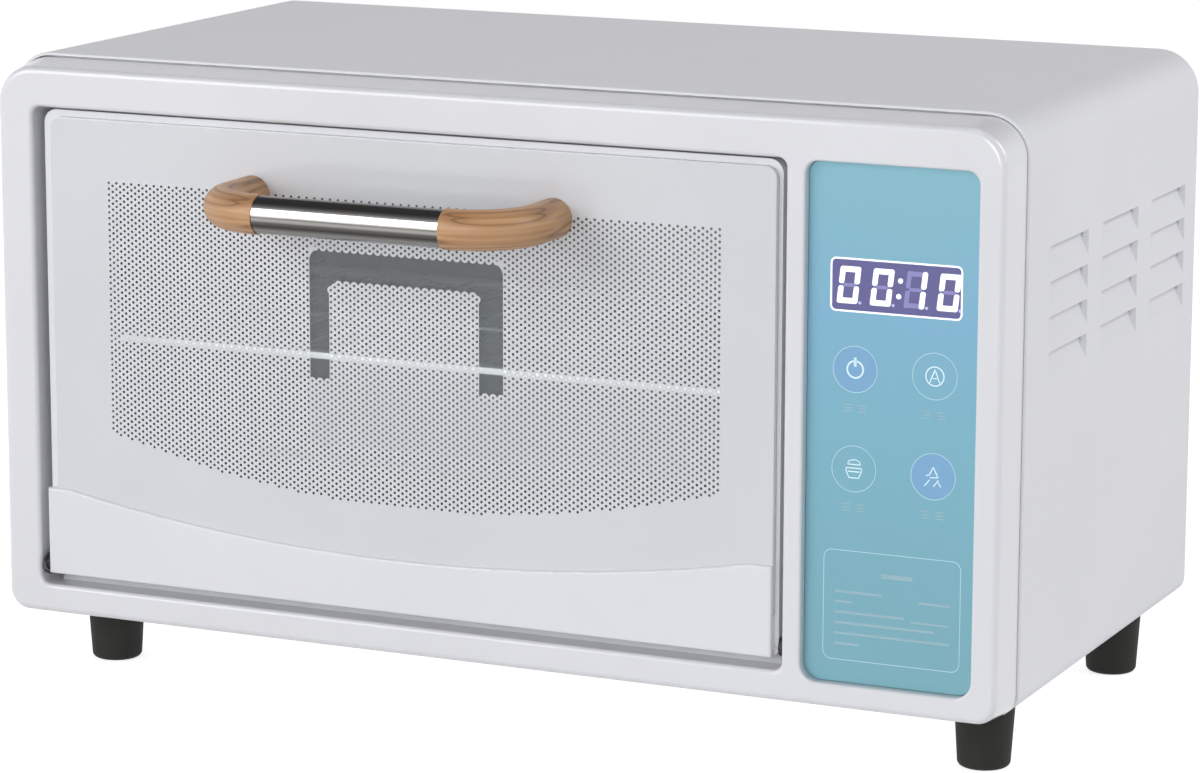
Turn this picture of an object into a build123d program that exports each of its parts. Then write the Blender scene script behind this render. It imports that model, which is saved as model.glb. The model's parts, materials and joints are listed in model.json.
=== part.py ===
"""Countertop dry heat sterilizer: a small electric cabinet with a drop-down glass door.

Everything is drawn in millimetres in the front panel's own frame: X to the right, Y into the
cabinet with the bezel's front face at y = 0, and Z up with the bezel's lower edge at z = 0.
save() then stands each piece on its feet, with the origin under the middle of the whole box.
"""
from build123d import *
import os

# ---------------------------------------------------------------- front bezel
bezel_width = 380.0
bezel_height = 199.5
bezel_depth = 14.5          # front face to the seam with the shell
bezel_wall = 2.5
bezel_top_radius = 13.5
bezel_bottom_radius = 7.5
bezel_edge_round = 2.4
bezel_draft = 2.2              # front outline in from the seam's, at the right and the top
bezel_draft_left = 0.8
bezel_lip = 3.5             # tucks inside the shell, back to the front frame
bezel_lip_gap = 1.0         # lip's surface in from the shell's inner face
seam_gap = 0.3              # open groove between the bezel and the shell
opening_left_margin = 14.4  # bezel's left side to the door opening
control_side_width = 78.0   # door opening to the bezel's right side
opening_bottom_margin = 10.5
opening_top_margin = 16.0
opening_radius = 3.2
opening_round = 1.6
threshold_y = 9.5           # foot of the raised sill behind the door's lower edge
threshold_rise = 3.5

# ---------------------------------------------------------------- sheet-metal case
shell_overhang = 1.0        # shell stands out past the bezel's sides
shell_rise = 1.5            # and past its top
shell_ground = 1.6          # shell's underside above the bezel's lower edge
shell_depth = 182.3         # seam to the rear edge
shell_edge_round = 0.7
shell_sheet = 1.0
shell_top_radius = 15.0
shell_bottom_radius = 6.0
shell_bottom_return = 24.0  # turned in under the cabinet
shell_rear_return = 11.0    # turned in around the back
frame_sheet = 1.0
frame_skirt = 10.0
pan_sheet = 1.0
pan_side_inset = 5.0        # pan's edge in from the shell's side
pan_rear_flange = 13.0
rear_sheet = 0.8
rear_inset = 3.0            # rear panel's edge in from the shell's outline
fit_gap = 0.2               # between parts that slip together

# ---------------------------------------------------------------- louvers in the right side
louver_columns = 3
louver_rows = 4
louver_length = 39.0
louver_height = 8.4
louver_depth = 3.2
louver_slope = 2.4          # how far each end slopes in
louver_lip = 0.4            # square upper edge of each pocket
louver_slit = 2.6           # height of each pocket's opening into the case
louver_slit_inset = 1.4     # opening's outer edge inside the shell's face
louver_pitch_y = 54.0
louver_pitch_z = 11.85
louver_first_y = 37.0       # front end of the first column
louver_top_z = 154.5        # open upper edge of the top row

# ---------------------------------------------------------------- feet
foot_height = 20.5          # bezel's lower edge above the bench
foot_top_radius = 10.25
foot_bottom_radius = 8.9
foot_round = 2.0
foot_left_inset = 31.5      # foot's axis in from the shell's left side
foot_right_inset = 15.5     # and from its right side
foot_front_inset = 10.6     # behind the seam
foot_rear_inset = 36.5
foot_bore_depth = 9.0
foot_bore_radius = 4.2

# ---------------------------------------------------------------- cavity
cavity_side_inset = 11.3    # cavity wall in from the door opening
cavity_bottom_inset = 12.5
cavity_top_inset = 8.5
cavity_rear_clearance = 12.8  # cavity's back wall to the shell's rear edge
liner_sheet = 0.8
insulation = 7.0
heater_radius = 3.5
heater_wall_gap = 0.4
heater_level = 10.0         # heater axis from the cavity floor or roof
heater_front_y = 42.0       # behind the cavity's mouth
heater_rear_inset = 38.0    # ahead of the cavity's back wall
heater_cap_radius = 7.0
heater_cap_length = 9.0
heater_pin_length = 4.0
runner_width = 8.0
runner_sheet = 1.0
runner_start = 11.0         # behind the cavity's mouth
rack_height = 76.0          # rack's wires above the cavity floor
rack_wire = 2.0             # radius of the rim
rack_cross_wire = 1.2       # radius of the rods
rack_rod_count = 13
rack_side_gap = 3.0
rack_front_gap = 3.0
rack_rear_gap = 6.0
rack_lift = 0.3             # between wire and runner
probe_radius = 2.5
probe_reach = 22.0
probe_rear_inset = 13.0     # ahead of the cavity's back wall
probe_top_inset = 24.0      # below the cavity's roof
probe_nut = 4.0
probe_tail = 3.0            # lead end past the insulation
cutout_radius = 8.0
cutout_height = 7.0
cutout_tab = 4.0            # width and length of each blade terminal
cutout_tab_sheet = 0.8

# ---------------------------------------------------------------- door
door_left_gap = 3.1
door_right_gap = 2.4
door_top_gap = 1.0
door_bottom_gap = 4.0
door_flange_y = 4.0         # flange's face behind the bezel's face
door_back_y = 14.0
door_corner = 5.0
window_left = 24.5          # door's left rail
window_right = 18.5         # door's right rail
window_bottom = 33.5
window_top = 16.5
window_radius = 6.0
glass_front_y = 1.8
glass_thickness = 4.0
glass_left_margin = 3.8
glass_right_margin = 1.6
glass_top_margin = 2.5
glass_corner = 4.0
glass_edge = 0.4            # ground edge
bond_inset = 1.0            # adhesive in from the glass's edge
bond_thickness = 0.4
bond_width = 5.0
seat_gap = 0.2
trim_front_y = 0.5
trim_end_height = 31.5
trim_middle_height = 19.0
trim_shoulder = 9.0
trim_right_inset = 1.4      # strip's right end in from the door's edge
trim_glass_overlap = 4.5
trim_round = 0.9
gasket_width = 4.0
gasket_gap = 0.3
gasket_inset = 0.5          # gasket's inner edge outside the cavity's mouth
pivot_y = 6.0
pivot_height = 3.0          # above the door's lower edge
pin_radius = 2.0
pin_running_gap = 0.05
pin_grip_length = 12.0
pin_tail = 0.5
hinge_plate = 1.5
hinge_width = 10.5
hinge_height = 22.0
washer_radius = 3.2
washer_gap = 0.25
wire_radius = 0.4
wire_reach = 4.0            # loop's half height around the pin
wire_nose_y = -4.0         # where the loop's two straight sides would meet
wire_bend = 2.4
wire_leg_setback = 2.0      # legs straighten ahead of the pin's axis

# ---------------------------------------------------------------- handle
handle_centre = -30.2       # from the cabinet's middle
handle_span = 115.2         # between the two arms' axes
grip_reach = 22.5            # bar's end to the arm's axis
handle_bar_radius = 6.5
handle_bar_wall = 1.0
grip_radius = 6.9
grip_bend = 21.0
handle_stand_off = 34.0     # bar's axis ahead of the bezel's face
handle_drop = 24.9          # bar's axis below the door's top
spigot_length = 12.0
handle_screw_radius = 2.0
handle_screw_length = 14.0
handle_screw_head = 3.4
screw_gap = 0.05

# ---------------------------------------------------------------- control panel
panel_side_margin = 11.0
panel_width = 60.2
panel_bottom_margin = 8.3
panel_top_margin = 16.2
panel_top_radius = 4.5
panel_bottom_radius = 6.0
panel_recess = 3.6
panel_thickness = 1.5
panel_round = 1.0
pocket_floor = 2.0
pocket_wall = 1.8
display_width = 47.0
display_height = 19.0
display_z = 143.0
display_body = 8.0
key_spacing_x = 27.8
key_spacing_z = 33.3
key_top_z = 115.2
key_spring_radius = 4.0
key_spring_wall = 0.6
key_spring_gap = 1.0
board_thickness = 1.6
board_margin = 2.0
board_low_z = 62.0
board_high_z = 166.0
board_stand_off = 6.5
board_screw_inset = 5.0

# ---------------------------------------------------------------- electronics side
baffle_gap = 14.0           # baffle's face to the cavity's right liner
baffle_sheet = 1.0
baffle_flange = 10.0
power_board_length = 95.0
power_board_height = 100.0
power_board_y = 55.0
power_board_z = 38.0
standoff_length = 8.0
standoff_radius = 3.0
standoff_inset = 6.0
transformer_size = (24.0, 34.0, 30.0)
bobbin_overhang = 3.0
bobbin_inset = 6.0
relay_size = (16.0, 20.0, 28.0)
terminal_size = (14.0, 34.0, 16.0)
terminal_ways = 4
terminal_bore_depth = 4.0
relay_round = 1.0

# ---------------------------------------------------------------- cord inlet and fasteners
gland_radius = 7.5
gland_flange_radius = 10.0
gland_flange = 3.0
gland_nose = 4.0
gland_bore_radius = 3.6
gland_taper = 1.5
gland_tail = 6.0            # reach inside the case
gland_side_inset = 41.0     # axis in from the shell's right side
gland_z = 38.0
screw_radius = 1.45
screw_head_radius = 3.0
screw_head_height = 1.8
screw_hole_radius = 1.8
boss_radius = 3.5
boss_screw_length = 8.0
boss_spare_depth = 1.0      # bore past the screw's end
sheet_screw_length = 6.0
foot_screw_reach = 3.0      # past the base pan
vent_top_inset = 22.0       # top slot below the shell's roof
vent_width = 34.0
vent_height = 3.0
vent_pitch = 9.0
vent_rows = 9

# ---------------------------------------------------------------- worked-out places
half_width = bezel_width / 2
shell_half = half_width + shell_overhang
face_x0 = -half_width + bezel_draft_left
face_x1 = half_width - bezel_draft
face_z1 = bezel_height - bezel_draft
shell_top = bezel_height + shell_rise
seam_y = bezel_depth
frame_y = seam_y + bezel_lip
frame_back = frame_y + frame_sheet
shell_rear = seam_y + shell_depth
rear_face = shell_rear + rear_sheet

open_x0 = -half_width + opening_left_margin
open_x1 = half_width - control_side_width
open_z0 = opening_bottom_margin
open_z1 = bezel_height - opening_top_margin

cavity_x0 = open_x0 + cavity_side_inset
cavity_x1 = open_x1 - cavity_side_inset
cavity_z0 = open_z0 + cavity_bottom_inset
cavity_z1 = open_z1 - cavity_top_inset
cavity_y0 = frame_back
cavity_y1 = shell_rear - cavity_rear_clearance

door_x0 = open_x0 + door_left_gap
door_x1 = open_x1 - door_right_gap
door_z0 = open_z0 + door_bottom_gap
door_z1 = open_z1 - door_top_gap
glass_x0 = door_x0 + glass_left_margin
glass_x1 = door_x1 - glass_right_margin
glass_z1 = door_z1 - glass_top_margin
glass_z0 = door_z0 + trim_middle_height - trim_glass_overlap
glass_back = glass_front_y + glass_thickness
seat_y = glass_back + bond_thickness
trim_x1 = door_x1 - trim_right_inset
window_x0 = door_x0 + window_left
window_x1 = door_x1 - window_right
window_z0 = door_z0 + window_bottom
window_z1 = door_z1 - window_top
pivot_z = door_z0 + pivot_height

handle_z = door_z1 - handle_drop
handle_y = -handle_stand_off
arm_xs = (handle_centre - handle_span / 2, handle_centre + handle_span / 2)
bar_xs = (arm_xs[0] + grip_reach, arm_xs[1] - grip_reach)
spigot_radius = handle_bar_radius - handle_bar_wall - screw_gap

panel_x1 = half_width - panel_side_margin
panel_x0 = panel_x1 - panel_width
panel_z0 = panel_bottom_margin
panel_z1 = bezel_height - panel_top_margin
panel_x = (panel_x0 + panel_x1) / 2
panel_back = panel_recess + panel_thickness
pocket_back = panel_back + pocket_floor
board_y = pocket_back + board_stand_off
key_places = [
    (panel_x + column * key_spacing_x / 2, key_top_z - row * key_spacing_z)
    for row in (0, 1) for column in (-1, 1)
]

rack_z = cavity_z0 + rack_height
rack_x0 = cavity_x0 + rack_side_gap
rack_x1 = cavity_x1 - rack_side_gap
rack_y0 = cavity_y0 + rack_front_gap
rack_y1 = cavity_y1 - rack_rear_gap
heater_ys = (cavity_y0 + heater_front_y, cavity_y1 - heater_rear_inset)
heater_zs = (cavity_z0 + heater_level, cavity_z1 - heater_level)
probe_place = (cavity_y1 - probe_rear_inset, cavity_z1 - probe_top_inset)
cutout_place = ((cavity_y0 + cavity_y1) / 2, (cavity_z0 + cavity_z1) / 2)

baffle_x = cavity_x1 + liner_sheet + baffle_gap
power_board_x = baffle_x + baffle_sheet + standoff_length

foot_xs = (-shell_half + foot_left_inset, shell_half - foot_right_inset)
foot_ys = (seam_y + foot_front_inset, shell_rear - foot_rear_inset)
gland_x = shell_half - gland_side_inset
pan_z = shell_ground - pan_sheet
pan_half = shell_half - pan_side_inset

front_reach = handle_y - grip_radius
rear_reach = rear_face + gland_flange + gland_nose
middle_y = (front_reach + rear_reach) / 2


# ---------------------------------------------------------------- drawing helpers
def save(name, shape):
    """Stand the piece on the bench plane and write it as its own STEP file."""
    export_step(Pos(0, -middle_y, foot_height) * shape, f"parts/{name}.step")


def block(x0, x1, y0, y1, z0, z1):
    """Box between two opposite corners."""
    centre = Pos((x0 + x1) / 2, (y0 + y1) / 2, (z0 + z1) / 2)
    return centre * Box(x1 - x0, y1 - y0, z1 - z0)


def rod_x(radius, x0, x1, y, z):
    """Round bar along X."""
    return Pos((x0 + x1) / 2, y, z) * Rot(0, 90, 0) * Cylinder(radius, x1 - x0)


def rod_y(radius, y0, y1, x, z):
    """Round bar along Y."""
    return Pos(x, (y0 + y1) / 2, z) * Rot(90, 0, 0) * Cylinder(radius, y1 - y0)


def rod_z(radius, z0, z1, x, y):
    """Round bar along Z."""
    return Pos(x, y, (z0 + z1) / 2) * Cylinder(radius, z1 - z0)


def rounded_outline(x0, x1, z0, z1, top_radius, bottom_radius):
    """Upright rectangle with one radius on its top corners and one on its bottom corners."""
    outline = Pos((x0 + x1) / 2, (z0 + z1) / 2) * Rectangle(x1 - x0, z1 - z0)
    if top_radius > 0:
        outline = fillet(outline.vertices().sort_by(Axis.Y)[-2:], top_radius)
    if bottom_radius > 0:
        outline = fillet(outline.vertices().sort_by(Axis.Y)[:2], bottom_radius)
    return outline


def upright_plane(y):
    """Plane of upright outlines (X, Z) at one depth."""
    return Plane(origin=(0, y, 0), x_dir=(1, 0, 0), z_dir=(0, -1, 0))


def upright(outline, y0, y1):
    """Push an upright outline (X, Z) out between two depths."""
    return extrude(upright_plane(y1) * outline, amount=y1 - y0)


def slab(x0, x1, y0, y1, z0, z1, top_radius=0.0, bottom_radius=0.0):
    """Upright plate with rounded corners between two depths."""
    return upright(rounded_outline(x0, x1, z0, z1, top_radius, bottom_radius), y0, y1)


def shell_slab(inset, y0, y1):
    """Plate with the shell's outline, drawn in by an inset."""
    return slab(
        -shell_half + inset, shell_half - inset, y0, y1,
        shell_ground + inset, shell_top - inset,
        shell_top_radius - inset, shell_bottom_radius - inset,
    )


def group(pieces):
    """Several separate solids kept together as one node."""
    return Compound(children=list(pieces))


def screw_y(head_y, x, z, direction, length, radius=screw_radius, head=screw_head_radius):
    """Pan-head screw along Y whose head sits behind head_y and whose shank points in direction."""
    heads = (head_y - direction * screw_head_height, head_y)
    shank = (head_y, head_y + direction * length)
    return rod_y(head, min(heads), max(heads), x, z) + rod_y(radius, min(shank), max(shank), x, z)


# ---------------------------------------------------------------- front bezel
def bezel_boss_places():
    """Four screw bosses in the channels around the door opening and the control panel."""
    left_x = (-half_width + bezel_wall + open_x0 - bezel_wall) / 2
    top_z = (bezel_height - bezel_wall + open_z1 + bezel_wall) / 2
    middle_x = (open_x0 + open_x1) / 2
    return (
        (left_x, open_z0 + (open_z1 - open_z0) * 0.25),
        (left_x, open_z0 + (open_z1 - open_z0) * 0.8),
        (middle_x, top_z),
        (panel_x, top_z),
    )


def bezel_form():
    """Bezel's outer form, which widens from the face to the seam, with a rounded front edge."""
    face = rounded_outline(face_x0, face_x1, 0, face_z1, bezel_top_radius, bezel_bottom_radius)
    seam = rounded_outline(-half_width, half_width, 0, bezel_height,
                           bezel_top_radius, bezel_bottom_radius)
    form = loft([upright_plane(0) * face, upright_plane(seam_y) * seam], ruled=True)
    return fillet(form.faces().sort_by(Axis.Y)[0].edges(), bezel_edge_round)


def front_bezel():
    """Moulded front: face, skirt, lip into the shell, door tunnel and control-panel pocket."""
    lip = shell_slab(shell_sheet + bezel_lip_gap, seam_y, frame_y)
    hollow = slab(face_x0 + bezel_wall, face_x1 - bezel_wall, bezel_wall, frame_y,
                  bezel_wall + shell_ground, face_z1 - bezel_wall,
                  bezel_top_radius - bezel_wall, bezel_bottom_radius - bezel_wall)
    body = bezel_form() + lip - hollow
    body += slab(open_x0 - bezel_wall, open_x1 + bezel_wall, bezel_wall / 2, frame_y,
                 open_z0 - bezel_wall, open_z1 + bezel_wall,
                 opening_radius + bezel_wall, opening_radius + bezel_wall)
    body += slab(panel_x0 - pocket_wall, panel_x1 + pocket_wall, bezel_wall / 2, pocket_back,
                 panel_z0 - pocket_wall, panel_z1 + pocket_wall,
                 panel_top_radius + pocket_wall, panel_bottom_radius + pocket_wall)
    for x, z in bezel_boss_places():
        body += rod_y(boss_radius, bezel_wall / 2, frame_y, x, z)
        bore_y = frame_y - boss_screw_length - boss_spare_depth
        body -= rod_y(screw_radius + screw_gap, bore_y, frame_y, x, z)
    for x, z in board_screw_places():
        body += rod_y(boss_radius, panel_back + pocket_floor / 2, board_y, x, z)
        body -= rod_y(screw_radius + screw_gap, pocket_back, board_y, x, z)
    body -= slab(open_x0, open_x1, -1, frame_y, open_z0, open_z1, opening_radius, opening_radius)
    body -= slab(panel_x0, panel_x1, -1, panel_back, panel_z0, panel_z1,
                 panel_top_radius, panel_bottom_radius)
    rims = body.faces().sort_by(Axis.Y)[0].inner_wires().sort_by(SortBy.LENGTH)
    body = fillet(rims[-1].edges(), opening_round)
    rims = body.faces().sort_by(Axis.Y)[0].inner_wires().sort_by(SortBy.LENGTH)
    body = fillet(rims[0].edges(), panel_round)
    body -= block(panel_x - display_width / 2 - fit_gap, panel_x + display_width / 2 + fit_gap,
                  panel_back, pocket_back,
                  display_z - display_height / 2 - fit_gap, display_z + display_height / 2 + fit_gap)
    for x, z in key_places:
        body -= rod_y(key_spring_radius + key_spring_gap, panel_back, pocket_back, x, z)
    for x0, x1 in ((open_x0 - bezel_wall, open_x0), (open_x1, open_x1 + bezel_wall)):
        body -= rod_x(pin_radius + 2 * fit_gap, x0 - fit_gap, x1 + fit_gap, pivot_y, pivot_z)
    return body + sill_threshold()


def sill_threshold():
    """Raised step across the tunnel's floor, with a 45-degree front, under the closed door."""
    x0, x1 = door_x0 + fit_gap, door_x1 - fit_gap
    step = block(x0, x1, threshold_y, frame_y, open_z0 - bezel_wall / 2, open_z0 + threshold_rise)
    front_top = step.edges().filter_by(Axis.X).group_by(Axis.Y)[0].sort_by(Axis.Z)[-1]
    return chamfer(front_top, threshold_rise)


def bezel_screws():
    """Screws from behind the front frame into the bezel's bosses."""
    return group(screw_y(frame_back, x, z, -1, boss_screw_length) for x, z in bezel_boss_places())


# ---------------------------------------------------------------- case
def louver_wedge(start_y, top_z, grow):
    """Pressed-in pocket: flush at its lower edge, deepest at its open upper edge."""
    length = louver_length + 2 * grow
    height = louver_height + grow
    depth = louver_depth
    slope = louver_slope
    wedge = Wedge(length, depth, height, slope, height - louver_lip, length - slope, height)
    turn = Pos(shell_half - grow - depth / 2, start_y + louver_length / 2, top_z - height / 2)
    return turn * Rot(0, 0, 90) * wedge


def outer_shell():
    """Wrapped sheet: top, sides, turned-in bottom and rear edges, louvers in the right side."""
    front_y = seam_y + seam_gap
    body = shell_slab(0, front_y, shell_rear)
    body = fillet(body.faces().sort_by(Axis.Y)[0].edges(), shell_edge_round)
    body -= shell_slab(shell_sheet, front_y, shell_rear - shell_sheet)
    body -= slab(-shell_half + shell_rear_return, shell_half - shell_rear_return,
                 shell_rear - shell_sheet, shell_rear, shell_ground + shell_rear_return,
                 shell_top - shell_rear_return, shell_top_radius - shell_rear_return)
    body -= block(-shell_half + shell_bottom_return, shell_half - shell_bottom_return,
                  front_y, shell_rear, shell_ground, shell_ground + shell_rear_return)
    for column in range(louver_columns):
        for row in range(louver_rows):
            start_y = louver_first_y + column * louver_pitch_y
            top_z = louver_top_z - row * louver_pitch_z
            body += louver_wedge(start_y, top_z, shell_sheet)
            body -= louver_wedge(start_y, top_z, 0)
            body -= block(shell_half - louver_depth - 2 * shell_sheet, shell_half - louver_slit_inset,
                          start_y + louver_slope / 2, start_y + louver_length - louver_slope / 2,
                          top_z - louver_slit, top_z)
    for x, z in rear_screw_places():
        body -= rod_y(screw_radius + screw_gap, shell_rear - shell_sheet, shell_rear, x, z)
    for x, y in base_screw_places():
        body -= rod_z(screw_radius + screw_gap, shell_ground, shell_ground + shell_sheet, x, y)
    for y in foot_ys:
        body -= rod_z(screw_radius + screw_gap, shell_ground, shell_ground + shell_sheet, foot_xs[1], y)
    return body


def front_frame():
    """Sheet frame behind the bezel that carries the cavity, the door hinges and the shell."""
    inset = shell_sheet + fit_gap
    body = shell_slab(inset, frame_y, frame_back + frame_skirt)
    body -= shell_slab(inset + frame_sheet, frame_back, frame_back + frame_skirt)
    body -= block(cavity_x0, cavity_x1, frame_y, frame_back, cavity_z0, cavity_z1)
    body -= block(panel_x0, panel_x1 - fit_gap, frame_y, frame_back, board_low_z, board_high_z)
    for x, z in bezel_boss_places():
        body -= rod_y(screw_hole_radius, frame_y, frame_back, x, z)
    skirt_z = shell_ground + inset
    for x in foot_xs:
        body -= rod_z(screw_radius + screw_gap, skirt_z, skirt_z + frame_sheet, x, foot_ys[0])
    return body


def base_pan():
    """Floor sheet under the shell's returns, with a flange up the back and cooling slots."""
    y0 = seam_y + fit_gap
    body = block(-pan_half, pan_half, y0, shell_rear, pan_z, shell_ground)
    flange_half = shell_half - shell_bottom_return - fit_gap
    body += block(-flange_half, flange_half, shell_rear - pan_sheet, shell_rear,
                  pan_z, shell_ground + pan_rear_flange)
    for x, y in base_screw_places():
        body -= rod_z(screw_hole_radius, pan_z, shell_ground, x, y)
    for x in foot_xs:
        for y in foot_ys:
            body -= rod_z(screw_radius + screw_gap, pan_z, shell_ground, x, y)
    for x, z in base_flange_screw_places():
        body -= rod_y(screw_radius + screw_gap, shell_rear - pan_sheet, shell_rear, x, z)
    slot_x = baffle_x + baffle_flange + vent_width / 2 + vent_height
    for row in range(vent_rows):
        y = power_board_y + row * vent_pitch
        body -= block(slot_x - vent_width / 2, slot_x + vent_width / 2, y, y + vent_height,
                      pan_z, shell_ground)
    return body


def rear_screw_places():
    """Screws through the rear panel into the shell's return."""
    x = shell_half - (shell_rear_return + rear_inset) / 2
    top_z = shell_top - (shell_rear_return + rear_inset) / 2
    places = [(side * x, z) for side in (-1, 1) for z in (bezel_height * 0.2, bezel_height * 0.75)]
    return places + [(side * half_width * 0.55, top_z) for side in (-1, 1)]


def base_flange_screw_places():
    """Screws through the rear panel into the base pan's flange."""
    return [(side * half_width * 0.55, shell_ground + pan_rear_flange * 0.6) for side in (-1, 1)]


def base_screw_places():
    """Screws up through the pan into the shell's bottom returns."""
    x = shell_half - (shell_bottom_return + pan_side_inset) / 2
    ys = (seam_y + shell_depth * 0.3, seam_y + shell_depth * 0.6)
    return [(side * x, y) for side in (-1, 1) for y in ys]


def rear_panel():
    """Flat back sheet with vent slots and the hole for the cord gland."""
    body = slab(-shell_half + rear_inset, shell_half - rear_inset, shell_rear, rear_face,
                shell_ground + rear_inset, shell_top - rear_inset,
                shell_top_radius - rear_inset, shell_bottom_radius - rear_inset)
    for x, z in rear_screw_places() + base_flange_screw_places():
        body -= rod_y(screw_hole_radius, shell_rear, rear_face, x, z)
    body -= rod_y(gland_radius + screw_gap, shell_rear, rear_face, gland_x, gland_z)
    top_z = shell_top - vent_top_inset
    for centre_x in (gland_x - vent_height, (cavity_x0 + cavity_x1) / 2):
        for row in range(vent_rows):
            z = top_z - row * vent_pitch
            body -= block(centre_x - vent_width / 2, centre_x + vent_width / 2, shell_rear, rear_face,
                          z - vent_height, z)
    return body


def rear_panel_screws():
    """Screws that hold the rear panel to the shell and the base pan."""
    places = rear_screw_places() + base_flange_screw_places()
    return group(screw_y(rear_face, x, z, -1, sheet_screw_length) for x, z in places)


def base_screws():
    """Screws under the pan into the shell's returns."""
    return group(
        rod_z(screw_head_radius, pan_z - screw_head_height, pan_z, x, y)
        + rod_z(screw_radius, pan_z, pan_z + sheet_screw_length, x, y)
        for x, y in base_screw_places()
    )


def foot(x, y):
    """Tapered rubber foot, bored from below for its screw."""
    body = Pos(x, y, (pan_z - foot_height) / 2) * Cone(foot_bottom_radius, foot_top_radius,
                                                       pan_z + foot_height)
    body = fillet(body.edges().sort_by(Axis.Z)[0], foot_round)
    body -= rod_z(foot_bore_radius, -foot_height, -foot_height + foot_bore_depth, x, y)
    return body - rod_z(screw_radius + screw_gap, -foot_height + foot_bore_depth, pan_z, x, y)


def foot_screws():
    """One screw up through each foot into the base pan."""
    seat = -foot_height + foot_bore_depth
    return group(
        rod_z(screw_head_radius, seat - screw_head_height, seat, x, y)
        + rod_z(screw_radius, seat, shell_ground + foot_screw_reach, x, y)
        for x in foot_xs for y in foot_ys
    )


# ---------------------------------------------------------------- cavity
def side_wall(x0, x1):
    """Cavity side sheet with holes for the two pairs of heaters."""
    body = block(x0, x1, cavity_y0, cavity_y1, cavity_z0, cavity_z1)
    for y in heater_ys:
        for z in heater_zs:
            body -= rod_x(heater_radius + heater_wall_gap, x0, x1, y, z)
    return body


def liner_right():
    """Right cavity wall, also bored for the temperature probe."""
    x0, x1 = cavity_x1, cavity_x1 + liner_sheet
    return side_wall(x0, x1) - rod_x(probe_radius + screw_gap, x0, x1, *probe_place)


def liner_level(z0, z1):
    """Roof or floor sheet of the cavity."""
    return block(cavity_x0 - liner_sheet, cavity_x1 + liner_sheet, cavity_y0, cavity_y1, z0, z1)


def liner_back():
    """Back sheet of the cavity."""
    return block(cavity_x0 - liner_sheet, cavity_x1 + liner_sheet, cavity_y1, cavity_y1 + liner_sheet,
                 cavity_z0 - liner_sheet, cavity_z1 + liner_sheet)


def heater(y, z):
    """Tubular heating rod across the cavity, with a terminal pin at each end."""
    x0 = cavity_x0 - liner_sheet - heater_cap_length
    x1 = cavity_x1 + liner_sheet + heater_cap_length
    tube = rod_x(heater_radius, x0, x1, y, z)
    return tube + rod_x(screw_radius, x0 - heater_pin_length, x1 + heater_pin_length, y, z)


def heater_insulators():
    """Ceramic collars that seat every heater end on the cavity's side walls."""
    collars = []
    for x0 in (cavity_x0 - liner_sheet - heater_cap_length, cavity_x1 + liner_sheet):
        for y in heater_ys:
            for z in heater_zs:
                collar = rod_x(heater_cap_radius, x0, x0 + heater_cap_length, y, z)
                bore = rod_x(heater_radius + screw_gap, x0, x0 + heater_cap_length, y, z)
                collars.append(collar - bore)
    return group(collars)


def side_insulation(x0, x1):
    """Mineral-wool slab on a cavity side wall, cut around the heater collars."""
    body = block(x0, x1, cavity_y0 + fit_gap, cavity_y1, cavity_z0, cavity_z1)
    for y in heater_ys:
        for z in heater_zs:
            body -= rod_x(heater_cap_radius + fit_gap, x0, x1, y, z)
    return body


def insulation_right():
    """Right slab, also cut around the probe's nut and the thermal cutout."""
    x0 = cavity_x1 + liner_sheet
    body = side_insulation(x0, x0 + insulation)
    body -= rod_x(2 * probe_radius + fit_gap, x0, x0 + insulation, *probe_place)
    return body - rod_x(cutout_radius + fit_gap, x0, x0 + insulation, *cutout_place)


def insulation_top():
    """Mineral-wool slab on the cavity's roof."""
    z0 = cavity_z1 + liner_sheet
    return block(cavity_x0, cavity_x1, cavity_y0 + fit_gap, cavity_y1, z0, z0 + insulation)


def insulation_back():
    """Mineral-wool slab behind the cavity."""
    y0 = cavity_y1 + liner_sheet
    return block(cavity_x0, cavity_x1, y0, y0 + insulation, cavity_z0, cavity_z1)


def rack_runner(x0, x1):
    """Channel along a cavity side wall that the rack's rim slides in; open towards the middle."""
    low = rack_z - rack_wire - rack_lift
    high = rack_z + rack_wire + rack_lift
    y0 = cavity_y0 + runner_start
    body = block(x0, x1, y0, cavity_y1, low - runner_sheet, high + runner_sheet)
    if x0 < (cavity_x0 + cavity_x1) / 2:
        return body - block(x0 + runner_sheet, x1, y0, cavity_y1, low, high)
    return body - block(x0, x1 - runner_sheet, y0, cavity_y1, low, high)


def rack_rim(y0, y1):
    """Half of the rack's rim: across the front or the back and halfway along both sides."""
    rim_x0, rim_x1 = rack_x0 + rack_wire, rack_x1 - rack_wire
    corners = [(rim_x0, y0), (rim_x0, y1), (rim_x1, y1), (rim_x1, y0)]
    path = FilletPolyline(*[(x, y, rack_z) for x, y in corners], radius=3 * rack_wire)
    start = Plane(origin=path @ 0, z_dir=path % 0)
    return sweep(start * Circle(rack_wire), path=path)


def wire_rack():
    """Wire shelf: a heavy rim, rods from front to back and one bar across under the rods."""
    rim_y0, rim_y1 = rack_y0 + rack_wire, rack_y1 - rack_wire
    middle = (rim_y0 + rim_y1) / 2
    body = rack_rim(middle, rim_y0) + rack_rim(middle, rim_y1)
    pitch = (rack_x1 - rack_x0) / (rack_rod_count + 1)
    rods_x = [rack_x0 + (index + 1) * pitch for index in range(rack_rod_count)]
    for x in rods_x:
        body += rod_y(rack_cross_wire, rim_y0, rim_y1, x, rack_z)
    bar_z = rack_z - 1.3 * rack_cross_wire
    return body + rod_x(rack_cross_wire, rods_x[0] - rack_wire, rods_x[-1] + rack_wire, middle, bar_z)


def temperature_probe():
    """Thin probe through the right wall with its clamping nut outside."""
    y, z = probe_place
    outside = cavity_x1 + liner_sheet
    body = rod_x(probe_radius, cavity_x1 - probe_reach, outside + insulation + probe_tail, y, z)
    return body + rod_x(2 * probe_radius, outside, outside + probe_nut, y, z)


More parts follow.
